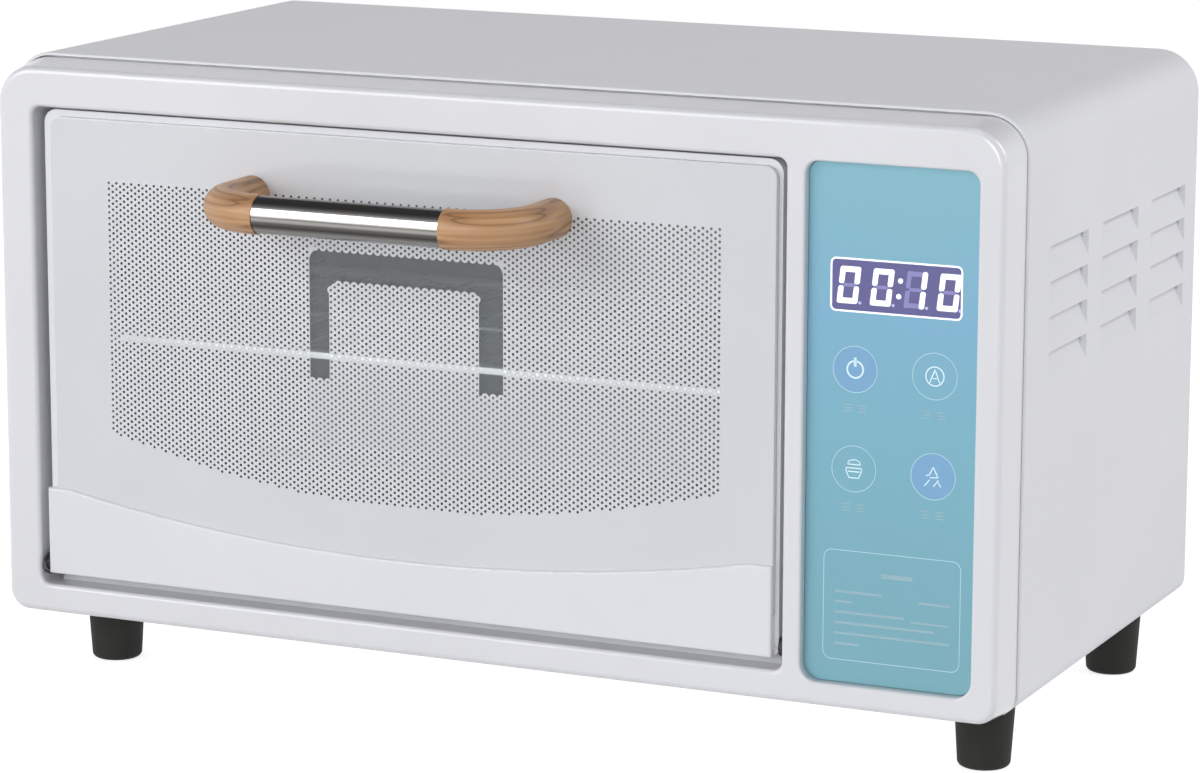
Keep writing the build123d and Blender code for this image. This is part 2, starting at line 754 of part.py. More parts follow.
def thermal_cutout():
    """Snap-disc cutout on the outside of the right cavity wall."""
    outside = cavity_x1 + liner_sheet
    y, z = cutout_place
    body = rod_x(cutout_radius, outside, outside + cutout_height, y, z)
    for side in (-1, 1):
        tab_y = y + side * cutout_radius / 2
        body += block(outside + cutout_height, outside + cutout_height + cutout_tab,
                      tab_y - cutout_tab / 2, tab_y + cutout_tab / 2,
                      z - cutout_tab_sheet / 2, z + cutout_tab_sheet / 2)
    return body


# ---------------------------------------------------------------- electronics side
def heat_baffle():
    """Sheet wall between the hot cavity and the electronics, with a foot on the base pan."""
    body = block(baffle_x, baffle_x + baffle_sheet, frame_back + frame_skirt + fit_gap,
                 shell_rear - shell_sheet - fit_gap, shell_ground, cavity_z1)
    return body + block(baffle_x, baffle_x + baffle_flange, frame_back + frame_skirt + fit_gap,
                        shell_rear - shell_sheet - fit_gap, shell_ground, shell_ground + baffle_sheet)


def board_standoffs():
    """Four pillars from the baffle to the power board."""
    y0, z0 = power_board_y + standoff_inset, power_board_z + standoff_inset
    y1 = power_board_y + power_board_length - standoff_inset
    z1 = power_board_z + power_board_height - standoff_inset
    return group(
        rod_x(standoff_radius, baffle_x + baffle_sheet, power_board_x, y, z)
        for y in (y0, y1) for z in (z0, z1)
    )


def power_board():
    """Upright power circuit board."""
    return block(power_board_x, power_board_x + board_thickness,
                 power_board_y, power_board_y + power_board_length,
                 power_board_z, power_board_z + power_board_height)


def on_board(size, along, up):
    """Component of a given size on the power board, placed by fractions of its length and height."""
    x0 = power_board_x + board_thickness
    y0 = power_board_y + along * (power_board_length - size[1])
    z0 = power_board_z + up * (power_board_height - size[2])
    return block(x0, x0 + size[0], y0, y0 + size[1], z0, z0 + size[2])


def transformer():
    """Small mains transformer: laminated core with its bobbin."""
    core = on_board(transformer_size, 0.2, 0.1)
    box = core.bounding_box()
    bobbin = block(box.min.X, box.max.X + bobbin_overhang,
                   box.min.Y + bobbin_inset, box.max.Y - bobbin_inset,
                   box.min.Z - bobbin_overhang, box.max.Z + bobbin_overhang)
    return core + bobbin


def relay():
    """Heater relay."""
    body = on_board(relay_size, 0.85, 0.15)
    return fillet(body.edges().filter_by(Axis.X), relay_round)


def terminal_block():
    """Screw terminal block for the supply and heater leads."""
    body = on_board(terminal_size, 0.7, 0.85)
    box = body.bounding_box()
    pitch = (box.max.Y - box.min.Y) / terminal_ways
    for index in range(terminal_ways):
        y = box.min.Y + (index + 0.5) * pitch
        body -= rod_x(pitch * 0.3, box.max.X - terminal_bore_depth, box.max.X, y,
                      (box.min.Z + box.max.Z) / 2)
    return body


# ---------------------------------------------------------------- control panel
def board_screw_places():
    """Corners of the display board where its screws go into the bezel's bosses."""
    x0, x1 = panel_x0 + board_margin + board_screw_inset, panel_x1 - board_margin - board_screw_inset
    z0, z1 = board_low_z + board_screw_inset, board_high_z - board_screw_inset
    return [(x, z) for x in (x0, x1) for z in (z0, z1)]


def control_panel():
    """Thin touch panel seated in the bezel's pocket."""
    return slab(panel_x0 + fit_gap, panel_x1 - fit_gap, panel_recess, panel_back,
                panel_z0 + fit_gap, panel_z1 - fit_gap,
                panel_top_radius - fit_gap, panel_bottom_radius - fit_gap)


def display_board():
    """Circuit board behind the panel."""
    body = block(panel_x0 + board_margin, panel_x1 - board_margin, board_y, board_y + board_thickness,
                 board_low_z, board_high_z)
    for x, z in board_screw_places():
        body -= rod_y(screw_hole_radius, board_y, board_y + board_thickness, x, z)
    return body


def display_module():
    """Four-digit light-emitting display block on the board."""
    return block(panel_x - display_width / 2, panel_x + display_width / 2,
                 board_y - display_body, board_y,
                 display_z - display_height / 2, display_z + display_height / 2)


def touch_springs():
    """Spring contacts from the board to the back of the panel, one behind each touch key."""
    springs = []
    for x, z in key_places:
        tube = rod_y(key_spring_radius, panel_back, board_y, x, z)
        springs.append(tube - rod_y(key_spring_radius - key_spring_wall, panel_back, board_y, x, z))
    return group(springs)


def display_board_screws():
    """Screws that hold the display board on the bezel's bosses."""
    back = board_y + board_thickness
    return group(screw_y(back, x, z, -1, board_stand_off) for x, z in board_screw_places())


def cord_gland():
    """Cord bush in the rear panel; the supply cord itself is not part of the model."""
    body = rod_y(gland_radius, shell_rear - gland_tail, rear_face, gland_x, gland_z)
    body += rod_y(gland_flange_radius, rear_face, rear_face + gland_flange, gland_x, gland_z)
    nose_y = rear_face + gland_flange
    body += Pos(gland_x, nose_y + gland_nose / 2, gland_z) * Rot(-90, 0, 0) * Cone(
        gland_radius, gland_radius - gland_taper, gland_nose)
    return body - rod_y(gland_bore_radius, shell_rear - gland_tail, rear_reach, gland_x, gland_z)


# ---------------------------------------------------------------- hinges
def hinge_bracket(wall_x, side):
    """Steel bracket beside the door tunnel: a bored ear and a foot on the front frame."""
    ear_x = wall_x + side * (bezel_wall + fit_gap)
    xs = sorted((ear_x, ear_x + side * hinge_plate))
    foot_xs = sorted((ear_x, ear_x + side * (hinge_width - bezel_wall)))
    z0 = pivot_z - hinge_height / 3
    body = block(xs[0], xs[1], bezel_wall + fit_gap, frame_y, z0, z0 + hinge_height)
    body += block(foot_xs[0], foot_xs[1], frame_y - hinge_plate, frame_y, z0, z0 + hinge_height)
    return body - rod_x(pin_radius + pin_running_gap, xs[0], xs[1], pivot_y, pivot_z)


def hinge_pin(door_x, wall_x, side):
    """Pin fixed in the door's lower corner that turns in the hinge bracket."""
    outer = wall_x + side * (bezel_wall + fit_gap + hinge_plate + pin_tail)
    xs = sorted((door_x - side * pin_grip_length, outer))
    return rod_x(pin_radius, xs[0], xs[1], pivot_y, pivot_z)


def hinge_washers():
    """Spacer rings on the hinge pins between the door and the tunnel walls."""
    rings = []
    for gap_x0, gap_x1 in ((open_x0, door_x0), (door_x1, open_x1)):
        x0, x1 = gap_x0 + washer_gap, gap_x1 - washer_gap
        ring = rod_x(washer_radius, x0, x1, pivot_y, pivot_z)
        rings.append(ring - rod_x(pin_radius + pin_running_gap, x0, x1, pivot_y, pivot_z))
    return group(rings)


def hinge_spring_wire():
    """Bent spring wire around the left pin, with both legs back to the front frame."""
    x = (open_x0 + door_x0) / 2
    nose = (x, wire_nose_y, pivot_z)
    leg_y = pivot_y - wire_leg_setback
    upper = [(x, frame_y, pivot_z + wire_reach), (x, leg_y, pivot_z + wire_reach)]
    lower = [(x, leg_y, pivot_z - wire_reach), (x, frame_y, pivot_z - wire_reach)]
    path = FilletPolyline(*upper, nose, *lower, radius=wire_bend)
    start = Plane(origin=path @ 0, z_dir=path % 0)
    return sweep(start * Circle(wire_radius), path=path)


# ---------------------------------------------------------------- door
def door_frame():
    """Moulded door: flange, seat for the glass, window and back face."""
    body = slab(door_x0, door_x1, door_flange_y, door_back_y, door_z0, door_z1, door_corner,
                door_corner / 2)
    body -= slab(glass_x0 - seat_gap, glass_x1 + seat_gap, door_flange_y, seat_y,
                 glass_z0 - seat_gap, glass_z1 + seat_gap, glass_corner + seat_gap, 0)
    body -= slab(window_x0, window_x1, seat_y, door_back_y, window_z0, window_z1,
                 window_radius, window_radius)
    for x0, x1 in ((door_x0, door_x0 + pin_grip_length), (door_x1 - pin_grip_length, door_x1)):
        body -= rod_x(pin_radius + screw_gap / 2, x0, x1, pivot_y, pivot_z)
    for x, z in trim_screw_places():
        body -= rod_y(screw_hole_radius, door_flange_y, door_back_y, x, z)
        body -= rod_y(screw_head_radius + fit_gap, door_back_y - screw_head_height - fit_gap,
                      door_back_y, x, z)
    return body


def glass_bond_strip():
    """Thin adhesive ring between the glass and its seat."""
    x0, x1 = glass_x0 + bond_inset, glass_x1 - bond_inset
    z0, z1 = glass_z0 + bond_inset, glass_z1 - bond_inset
    ring = slab(x0, x1, glass_back, seat_y, z0, z1)
    return ring - block(x0 + bond_width, x1 - bond_width, glass_back, seat_y,
                        z0 + bond_width, z1 - bond_width)


def door_glass():
    """Tempered pane with two holes for the handle screws."""
    body = slab(glass_x0, glass_x1, glass_front_y, glass_back, glass_z0, glass_z1, glass_corner, 0)
    body = chamfer(body.faces().sort_by(Axis.Y)[0].edges(), glass_edge)
    for x in arm_xs:
        body -= rod_y(handle_screw_radius + 2 * fit_gap, glass_front_y, glass_back, x, handle_z)
    return body


def trim_outline():
    """Lower strip: level shoulders at the ends and a long hollow arc between them."""
    bottom, end_z = door_z0, door_z0 + trim_end_height
    middle = ((door_x0 + door_x1) / 2, door_z0 + trim_middle_height)
    left, right = door_x0 + trim_shoulder, trim_x1 - trim_shoulder
    sides = Polyline((left, end_z), (door_x0, end_z), (door_x0, bottom), (trim_x1, bottom),
                     (trim_x1, end_z), (right, end_z))
    return make_face(sides + ThreePointArc((right, end_z), middle, (left, end_z)))


def trim_screw_places():
    """Screws from the door's back into the lower strip."""
    z = door_z0 + (glass_z0 - seat_gap - door_z0) / 2
    margin = pin_grip_length + 3 * screw_head_radius
    xs = (door_x0 + margin, (door_x0 + door_x1) / 2, door_x1 - margin)
    return [(x, z) for x in xs]


def door_trim():
    """Lower strip that caps the pane's bottom edge and stands proud of the glass."""
    body = upright(trim_outline(), trim_front_y, door_flange_y)
    body = fillet(body.faces().sort_by(Axis.Y)[0].edges(), trim_round)
    body -= block(glass_x0 - seat_gap, glass_x1 + seat_gap, glass_front_y, door_flange_y,
                  glass_z0 - seat_gap, door_z0 + trim_end_height + 1)
    return body


def trim_screws():
    """Three screws that pull the strip onto the door."""
    seat = door_back_y - screw_head_height
    return group(screw_y(seat, x, z, -1, seat - door_flange_y) for x, z in trim_screw_places())


def door_gasket():
    """Soft seal around the cavity's mouth, on the door's back face."""
    back = frame_y - gasket_gap
    outer = gasket_inset + gasket_width
    body = block(cavity_x0 - outer, cavity_x1 + outer, door_back_y, back,
                 cavity_z0 - outer, cavity_z1 + outer)
    return body - block(cavity_x0 - gasket_inset, cavity_x1 + gasket_inset, door_back_y, back,
                        cavity_z0 - gasket_inset, cavity_z1 + gasket_inset)


# ---------------------------------------------------------------- handle
def handle_bar():
    """Steel tube between the two grips."""
    body = rod_x(handle_bar_radius, *bar_xs, handle_y, handle_z)
    return body - rod_x(handle_bar_radius - handle_bar_wall, *bar_xs, handle_y, handle_z)


def handle_grip(bar_x, arm_x):
    """Turned elbow from the bar's end back to the pane, with a spigot and a screw bore."""
    path = FilletPolyline((bar_x, handle_y, handle_z), (arm_x, handle_y, handle_z),
                          (arm_x, glass_front_y, handle_z), radius=grip_bend)
    start = Plane(origin=path @ 0, z_dir=path % 0)
    body = sweep(start * Circle(grip_radius), path=path)
    inward = 1 if arm_x < bar_x else -1
    spigot = sorted((bar_x, bar_x + inward * spigot_length))
    body += rod_x(spigot_radius, spigot[0], spigot[1], handle_y, handle_z)
    bore_y = glass_front_y - handle_screw_length
    return body - rod_y(handle_screw_radius + screw_gap, bore_y, glass_front_y, arm_x, handle_z)


def handle_screws():
    """Two screws from inside the door through the pane into the grips."""
    length = handle_screw_length + glass_thickness - 1.0
    return group(
        screw_y(glass_back, x, handle_z, -1, length, handle_screw_radius, handle_screw_head)
        for x in arm_xs
    )


# ---------------------------------------------------------------- write every piece
def build():
    """Build each node and write it."""
    os.makedirs("parts", exist_ok=True)
    save("front_bezel", front_bezel())
    save("bezel_screws", bezel_screws())
    save("outer_shell", outer_shell())
    save("front_frame", front_frame())
    save("base_pan", base_pan())
    save("rear_panel", rear_panel())
    save("rear_panel_screws", rear_panel_screws())
    save("base_screws", base_screws())
    for side, x in zip(("left", "right"), foot_xs):
        for end, y in (("front", foot_ys[0]), ("rear", foot_ys[1])):
            save(f"foot_{end}_{side}", foot(x, y))
    save("foot_screws", foot_screws())

    save("liner_left", side_wall(cavity_x0 - liner_sheet, cavity_x0))
    save("liner_right", liner_right())
    save("liner_top", liner_level(cavity_z1, cavity_z1 + liner_sheet))
    save("liner_bottom", liner_level(cavity_z0 - liner_sheet, cavity_z0))
    save("liner_back", liner_back())
    for level, z in (("lower", heater_zs[0]), ("upper", heater_zs[1])):
        for end, y in (("front", heater_ys[0]), ("rear", heater_ys[1])):
            save(f"heater_{level}_{end}", heater(y, z))
    save("heater_insulators", heater_insulators())
    left_outside = cavity_x0 - liner_sheet
    save("insulation_left", side_insulation(left_outside - insulation, left_outside))
    save("insulation_right", insulation_right())
    save("insulation_top", insulation_top())
    save("insulation_back", insulation_back())
    save("rack_runner_left", rack_runner(cavity_x0, cavity_x0 + runner_width))
    save("rack_runner_right", rack_runner(cavity_x1 - runner_width, cavity_x1))
    save("wire_rack", wire_rack())
    save("temperature_probe", temperature_probe())
    save("thermal_cutout", thermal_cutout())

    save("heat_baffle", heat_baffle())
    save("board_standoffs", board_standoffs())
    save("power_board", power_board())
    save("transformer", transformer())
    save("relay", relay())
    save("terminal_block", terminal_block())
    save("control_panel", control_panel())
    save("display_board", display_board())
    save("display_module", display_module())
    save("touch_springs", touch_springs())
    save("display_board_screws", display_board_screws())
    save("cord_gland", cord_gland())

    save("hinge_bracket_left", hinge_bracket(open_x0, -1))
    save("hinge_bracket_right", hinge_bracket(open_x1, 1))
    save("hinge_pin_left", hinge_pin(door_x0, open_x0, -1))
    save("hinge_pin_right", hinge_pin(door_x1, open_x1, 1))
    save("hinge_washers", hinge_washers())
    save("hinge_spring_wire", hinge_spring_wire())

    save("door_frame", door_frame())
    save("glass_bond_strip", glass_bond_strip())
    save("door_glass", door_glass())
    save("door_trim", door_trim())
    save("trim_screws", trim_screws())
    save("door_gasket", door_gasket())
    save("handle_bar", handle_bar())
    save("handle_grip_left", handle_grip(bar_xs[0], arm_xs[0]))
    save("handle_grip_right", handle_grip(bar_xs[1], arm_xs[1]))
    save("handle_screws", handle_screws())


build()
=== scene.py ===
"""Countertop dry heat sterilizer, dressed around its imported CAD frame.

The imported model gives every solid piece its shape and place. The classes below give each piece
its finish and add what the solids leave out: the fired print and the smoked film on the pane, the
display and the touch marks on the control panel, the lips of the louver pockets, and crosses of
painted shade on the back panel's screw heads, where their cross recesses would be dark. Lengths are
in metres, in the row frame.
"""
from __future__ import annotations

import functools
import json
import logging
import math
from dataclasses import dataclass
from enum import Enum
from typing import Iterable

import bmesh
import bpy
from mathutils import Matrix, Vector


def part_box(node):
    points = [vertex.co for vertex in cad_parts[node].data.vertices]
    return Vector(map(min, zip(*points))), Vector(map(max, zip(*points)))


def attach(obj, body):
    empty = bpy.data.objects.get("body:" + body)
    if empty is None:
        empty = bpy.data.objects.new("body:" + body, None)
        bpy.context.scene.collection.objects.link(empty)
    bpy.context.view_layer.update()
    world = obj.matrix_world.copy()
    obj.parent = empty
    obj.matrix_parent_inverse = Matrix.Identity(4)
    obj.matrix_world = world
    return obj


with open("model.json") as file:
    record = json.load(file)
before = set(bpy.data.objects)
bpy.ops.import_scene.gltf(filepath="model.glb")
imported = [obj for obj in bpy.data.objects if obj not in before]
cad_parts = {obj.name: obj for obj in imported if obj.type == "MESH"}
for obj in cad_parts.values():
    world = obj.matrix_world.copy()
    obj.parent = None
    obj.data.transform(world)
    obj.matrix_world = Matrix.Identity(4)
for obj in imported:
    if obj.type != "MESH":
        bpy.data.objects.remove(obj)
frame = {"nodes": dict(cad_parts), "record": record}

LOG = logging.getLogger("sterilizer")
MM = 0.001
MIX_FIRST, MIX_SECOND, MIX_RESULT = 6, 7, 2
UPRIGHT = Matrix.Rotation(math.pi / 2, 4, "X")

Colour = tuple[float, float, float]
Point = tuple[float, float, float]
Pair = tuple[float, float]
Material = bpy.types.Material
Socket = bpy.types.NodeSocket
Mesh = bmesh.types.BMesh
Vert = bmesh.types.BMVert


# ---------------------------------------------------------------- places
@dataclass(frozen=True)
class Box:
    """Upright box of a CAD node at rest."""

    low: Vector
    high: Vector

    @classmethod
    @functools.cache
    def of(cls, node: str) -> Box:
        """Box of one CAD node."""
        return cls(*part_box(node))

    @property
    def centre(self) -> Vector:
        """Middle of the box."""
        return (self.low + self.high) / 2


class Body(Enum):
    """Bodies that pieces ride on."""

    CABINET = "cabinet"
    DOOR = "door"


def direction(azimuth: float, elevation: float) -> Vector:
    """Unit vector towards a viewpoint.

    Args:
        azimuth: Turn in radians, from the front towards +X.
        elevation: Rise in radians.

    Returns:
        The vector, which points away from the cabinet.
    """
    flat = math.cos(elevation)
    return Vector((math.sin(azimuth) * flat, -math.cos(azimuth) * flat, math.sin(elevation)))


# ---------------------------------------------------------------- shader building
class Graph:
    """Node tree under construction, with short calls for the nodes that finishes share."""

    def __init__(self, owner: bpy.types.ID) -> None:
        """Start from the nodes that the owner has.

        Args:
            owner: Material or world.
        """
        owner.use_nodes = True
        self.nodes = owner.node_tree.nodes
        self.links = owner.node_tree.links

    def add(self, kind: str, **settings: object) -> bpy.types.Node:
        """Add a node.

        Args:
            kind: Blender's node type.
            settings: Attributes of the node, or values of its inputs by name.

        Returns:
            The new node.
        """
        node = self.nodes.new(kind)
        for key, value in settings.items():
            if hasattr(node, key):
                setattr(node, key, value)
            else:
                node.inputs[key.replace("_", " ")].default_value = value
        return node

    def join(self, source: Socket, target: Socket) -> None:
        """Link an output to an input."""
        self.links.new(source, target)

    def place(self, stretch: Point = (1.0, 1.0, 1.0), centre: Point = (0.0, 0.0, 0.0)) -> Socket:
        """Object coordinates, moved to a centre and stretched.

        Args:
            stretch: Factor on each axis.
            centre: Point that becomes the origin.

        Returns:
            The vector output.
        """
        source = self.add("ShaderNodeTexCoord")
        shift = tuple(-c * s for c, s in zip(centre, stretch))
        mapping = self.add("ShaderNodeMapping", Location=shift, Scale=stretch)
        self.join(source.outputs["Object"], mapping.inputs["Vector"])
        return mapping.outputs["Vector"]

    def axes(self, vector: Socket) -> dict[str, Socket]:
        """The X, Y and Z outputs of a vector, by their letters."""
        node = self.add("ShaderNodeSeparateXYZ")
        self.join(vector, node.inputs["Vector"])
        return {letter: node.outputs[letter] for letter in "XYZ"}

    def noise(self, vector: Socket, scale: float, detail: float = 2.0) -> Socket:
        """Soft noise over a vector.

        Args:
            vector: Where the noise is read.
            scale: Features per metre.
            detail: Octaves.

        Returns:
            The value output.
        """
        node = self.add("ShaderNodeTexNoise", Scale=scale, Detail=detail)
        self.join(vector, node.inputs["Vector"])
        return node.outputs["Fac"]

    def ramp(self, value: Socket, stops: Iterable[tuple[float, Colour]]) -> Socket:
        """Colour ramp over a value.

        Args:
            value: Input from 0 to 1.
            stops: Position and colour of each stop, in order.

        Returns:
            The colour output.
        """
        node = self.add("ShaderNodeValToRGB")
        elements = node.color_ramp.elements
        for index, (position, colour) in enumerate(stops):
            stop = elements[index] if index < 2 else elements.new(position)
            stop.position = position
            stop.color = (*colour, 1.0)
        self.join(value, node.inputs["Fac"])
        return node.outputs["Color"]

    def span(self, value: Socket, low: float, high: float) -> Socket:
        """Map 0 to 1 onto another span."""
        node = self.add("ShaderNodeMapRange", To_Min=low, To_Max=high)
        self.join(value, node.inputs["Value"])
        return node.outputs["Result"]

    def share(self, value: Socket, low: float, high: float) -> Socket:
        """Map a span onto 0 to 1."""
        node = self.add("ShaderNodeMapRange", From_Min=low, From_Max=high)
        self.join(value, node.inputs["Value"])
        return node.outputs["Result"]

    def maths(self, kind: str, *values: object) -> Socket:
        """Math node over sockets or numbers.

        Args:
            kind: Blender's operation.
            values: Sockets or numbers, in order.

        Returns:
            The value output.
        """
        node = self.add("ShaderNodeMath", operation=kind)
        for socket, value in zip(node.inputs, values):
            if isinstance(value, Socket):
                self.join(value, socket)
            else:
                socket.default_value = value
        return node.outputs[0]

    def seen(self) -> Socket:
        """1 for camera, glossy and transmission rays, 0 for the rest."""
        path = self.add("ShaderNodeLightPath")
        either = self.maths("MAXIMUM", path.outputs["Is Camera Ray"], path.outputs["Is Glossy Ray"])
        return self.maths("MAXIMUM", either, path.outputs["Is Transmission Ray"])


class Shader(Graph):
    """One material under construction around its Principled shader."""

    def __init__(self, name: str) -> None:
        """Start a material with a bare Principled shader.

        Args:
            name: Name of the material.
        """
        self.material = bpy.data.materials.new(name)
        super().__init__(self.material)
        self.surface = self.nodes["Principled BSDF"]

    def set(self, values: dict[str, object]) -> None:
        """Set plain values on the Principled shader's inputs."""
        for key, value in values.items():
            self.surface.inputs[key].default_value = value

    def feed(self, source: Socket, name: str) -> None:
        """Link an output to one of the Principled shader's inputs."""
        self.join(source, self.surface.inputs[name])

    def tint(self, value: Socket, dark: Colour, light: Colour, blend: Pair = (0.3, 0.7)) -> None:
        """Give the surface two colours by a value.

        Args:
            value: Input from 0 to 1.
            dark: Colour where the value is low.
            light: Colour where it is high.
            blend: Values between which the one turns into the other.
        """
        self.feed(self.ramp(value, ((blend[0], dark), (blend[1], light))), "Base Color")

    def bump(self, height: Socket, strength: float, distance: float) -> None:
        """Raise the surface by a height map.

        Args:
            height: Value that gives the relief.
            strength: Share of the relief that shows.
            distance: Relief's height in metres.
        """
        node = self.add("ShaderNodeBump", Strength=strength, Distance=distance)
        self.join(height, node.inputs["Height"])
        self.feed(node.outputs["Normal"], "Normal")


def shade(colour: Colour, factor: float) -> Colour:
    """Colour scaled by a factor, kept at or under 1."""
    return tuple(min(c * factor, 1.0) for c in colour)


# ---------------------------------------------------------------- finishes
@dataclass(frozen=True)
class Finish:
    """Finish that builds its own material."""

    name: str

    def paint(self, shader: Shader) -> None:
        """Lay the finish on a material, which each kind of finish does in its own way."""
        raise NotImplementedError

    def make(self) -> Material:
        """Build the material."""
        shader = Shader(self.name)
        self.paint(shader)
        return shader.material


@dataclass(frozen=True)
class Skin(Finish):
    """Even, non-metal surface: moulded plastic, powder coat, rubber, ceramic or laminate."""

    colour: Colour
    roughness: float = 0.4
    grain_scale: float = 900.0
    grain_depth: float = 0.02 * MM
    grain_strength: float = 0.15
    mottle: float = 0.02
    mottle_scale: float = 14.0
    coat: float = 0.0

    def paint(self, shader: Shader) -> None:
        """Lay the finish on a material."""
        shader.set({"Coat Weight": self.coat, "Coat Roughness": 0.10})
        patches = shader.noise(shader.place(), self.mottle_scale)
        shader.tint(patches, shade(self.colour, 1 - self.mottle), shade(self.colour, 1 + self.mottle))
        gloss = shader.span(patches, self.roughness * 0.92, self.roughness * 1.08)
        shader.feed(gloss, "Roughness")
        grain = shader.noise(shader.place(), self.grain_scale, 3.0)
        shader.bump(grain, self.grain_strength, self.grain_depth)


@dataclass(frozen=True)
class Metal(Finish):
    """Bare metal with fine streaks along one axis."""

    colour: Colour
    roughness: float = 0.3
    stretch: Point = (1.0, 1.0, 1.0)
    streak_scale: float = 500.0
    streak: float = 0.08
    depth: float = 0.01 * MM

    def paint(self, shader: Shader) -> None:
        """Lay the finish on a material."""
        shader.set({"Metallic": 1.0})
        streaks = shader.noise(shader.place(self.stretch), self.streak_scale, 4.0)
        dark, light = shade(self.colour, 1 - self.streak), shade(self.colour, 1 + self.streak)
        shader.tint(streaks, dark, light, (0.25, 0.75))
        gloss = shader.span(streaks, self.roughness * 0.75, self.roughness * 1.25)
        shader.feed(gloss, "Roughness")
        shader.bump(streaks, 0.2, self.depth)


@dataclass(frozen=True)
class PolishedTube(Finish):
    """Polished steel tube along X, with long bands of painted reflection in its colour that follow the
    height on its round.
    """

    axis_z: float
    radius: float
    colour: Colour = (0.93, 0.90, 0.86)
    # Painted reflection: the share of the colour at each height across the round, in dark and bright bands.
    painted_reflection_bands: tuple[Pair, ...] = (
        (0.0, 0.50), (0.10, 0.30), (0.20, 0.14), (0.27, 0.05), (0.38, 0.13), (0.43, 0.36), (0.475, 0.34),
        (0.515, 0.16), (0.555, 1.0), (0.76, 1.0), (0.80, 0.45), (0.86, 0.14),
    )

    def paint(self, shader: Shader) -> None:
        """Lay the finish on a material."""
        shader.set({"Metallic": 1.0})
        axes = shader.axes(shader.place())
        height = shader.share(axes["Z"], self.axis_z - self.radius, self.axis_z + self.radius)
        lines = shader.noise(shader.place((0.02, 1.0, 1.0)), 2600.0, 3.0)
        level = shader.maths("ADD", height, shader.span(lines, -0.012, 0.012))
        # Painted reflection: the colour is darkened in bands by height on the round.
        stops = [(place, shade(self.colour, share)) for place, share in self.painted_reflection_bands]
        shader.feed(shader.ramp(level, stops), "Base Color")
        shader.feed(shader.span(lines, 0.10, 0.18), "Roughness")
        shader.bump(lines, 0.15, 0.01 * MM)


@dataclass(frozen=True)
class RackWire(Finish):
    """Bright plated wire with a painted highlight: a line along the middle of its front bar that glows by
    itself.
    """

    front_y: float
    top_z: float
    dark: Colour = (0.82, 0.82, 0.83)
    light: Colour = (0.90, 0.90, 0.91)
    radius: float = 2.0 * MM
    highlight_half_height: float = 1.1 * MM
    # Emission strength of the painted highlight.
    glow: float = 0.75

    def paint(self, shader: Shader) -> None:
        """Lay the finish on a material."""
        shader.set({"Metallic": 0.6, "Emission Color": (0.98, 0.98, 1.0, 1.0)})
        streaks = shader.noise(shader.place((1.0, 1.0, 0.3)), 300.0, 3.0)
        shader.tint(streaks, self.dark, self.light)
        shader.feed(shader.span(streaks, 0.26, 0.36), "Roughness")
        axes = shader.axes(shader.place())
        # Painted highlight: a band of emission round the middle height of the front bar.
        front = shader.maths("LESS_THAN", axes["Y"], self.front_y + 2 * self.radius)
        height = shader.maths("SUBTRACT", axes["Z"], self.top_z - self.radius)
        middle = shader.maths("LESS_THAN", shader.maths("ABSOLUTE", height), self.highlight_half_height)
        painted_highlight = shader.maths("MULTIPLY", shader.maths("MULTIPLY", front, middle), self.glow)
        shader.feed(painted_highlight, "Emission Strength")


@dataclass(frozen=True)
class BentWood(Finish):
    """Oiled wood whose grain follows an elbow in plan, from the bar round to the pane."""

    bend_centre: Point
    side: int
    light: Colour = (0.64, 0.365, 0.180)
    middle: Colour = (0.46, 0.245, 0.112)
    dark: Colour = (0.27, 0.130, 0.056)
    fibre: Colour = (0.88, 0.86, 0.84)
    across: float = 170.0
    along: float = 14.0

    def paint(self, shader: Shader) -> None:
        """Lay the finish on a material."""
        shader.set({"Coat Weight": 0.25, "Coat Roughness": 0.25})
        axes = shader.axes(shader.place(centre=self.bend_centre))
        outward = shader.maths("MULTIPLY", axes["X"], float(self.side))
        out_x = shader.maths("MAXIMUM", outward, 0.0)
        out_y = shader.maths("MAXIMUM", shader.maths("MULTIPLY", axes["Y"], -1.0), 0.0)
        squares = shader.maths("ADD", shader.maths("POWER", out_x, 2.0), shader.maths("POWER", out_y, 2.0))
        radius = shader.maths("SQRT", squares)
        travel = shader.maths("SUBTRACT", axes["Y"], outward)
        grain = shader.add("ShaderNodeCombineXYZ")
        shader.join(shader.maths("MULTIPLY", radius, self.across), grain.inputs["X"])
        shader.join(shader.maths("MULTIPLY", axes["Z"], self.across), grain.inputs["Y"])
        shader.join(shader.maths("MULTIPLY", travel, self.along), grain.inputs["Z"])
        figure = shader.noise(grain.outputs["Vector"], 1.0, 1.5)
        stops = (
            (0.30, self.middle), (0.40, self.light), (0.465, self.middle), (0.48, self.dark),
            (0.495, self.middle), (0.57, self.light), (0.63, self.middle), (0.645, self.dark),
            (0.67, self.light),
        )
        tint = shader.add("ShaderNodeMix", data_type="RGBA", blend_type="MULTIPLY")
        tint.inputs["Factor"].default_value = 1.0
        fibres = shader.noise(grain.outputs["Vector"], 9.0, 2.0)
        shader.join(shader.ramp(figure, stops), tint.inputs[MIX_FIRST])
        fine = shader.ramp(fibres, ((0.3, self.fibre), (0.7, (1.0, 1.0, 1.0))))
        shader.join(fine, tint.inputs[MIX_SECOND])
        shader.feed(tint.outputs[MIX_RESULT], "Base Color")
        shader.feed(shader.span(fibres, 0.42, 0.58), "Roughness")
        shader.bump(fibres, 0.25, 0.03 * MM)


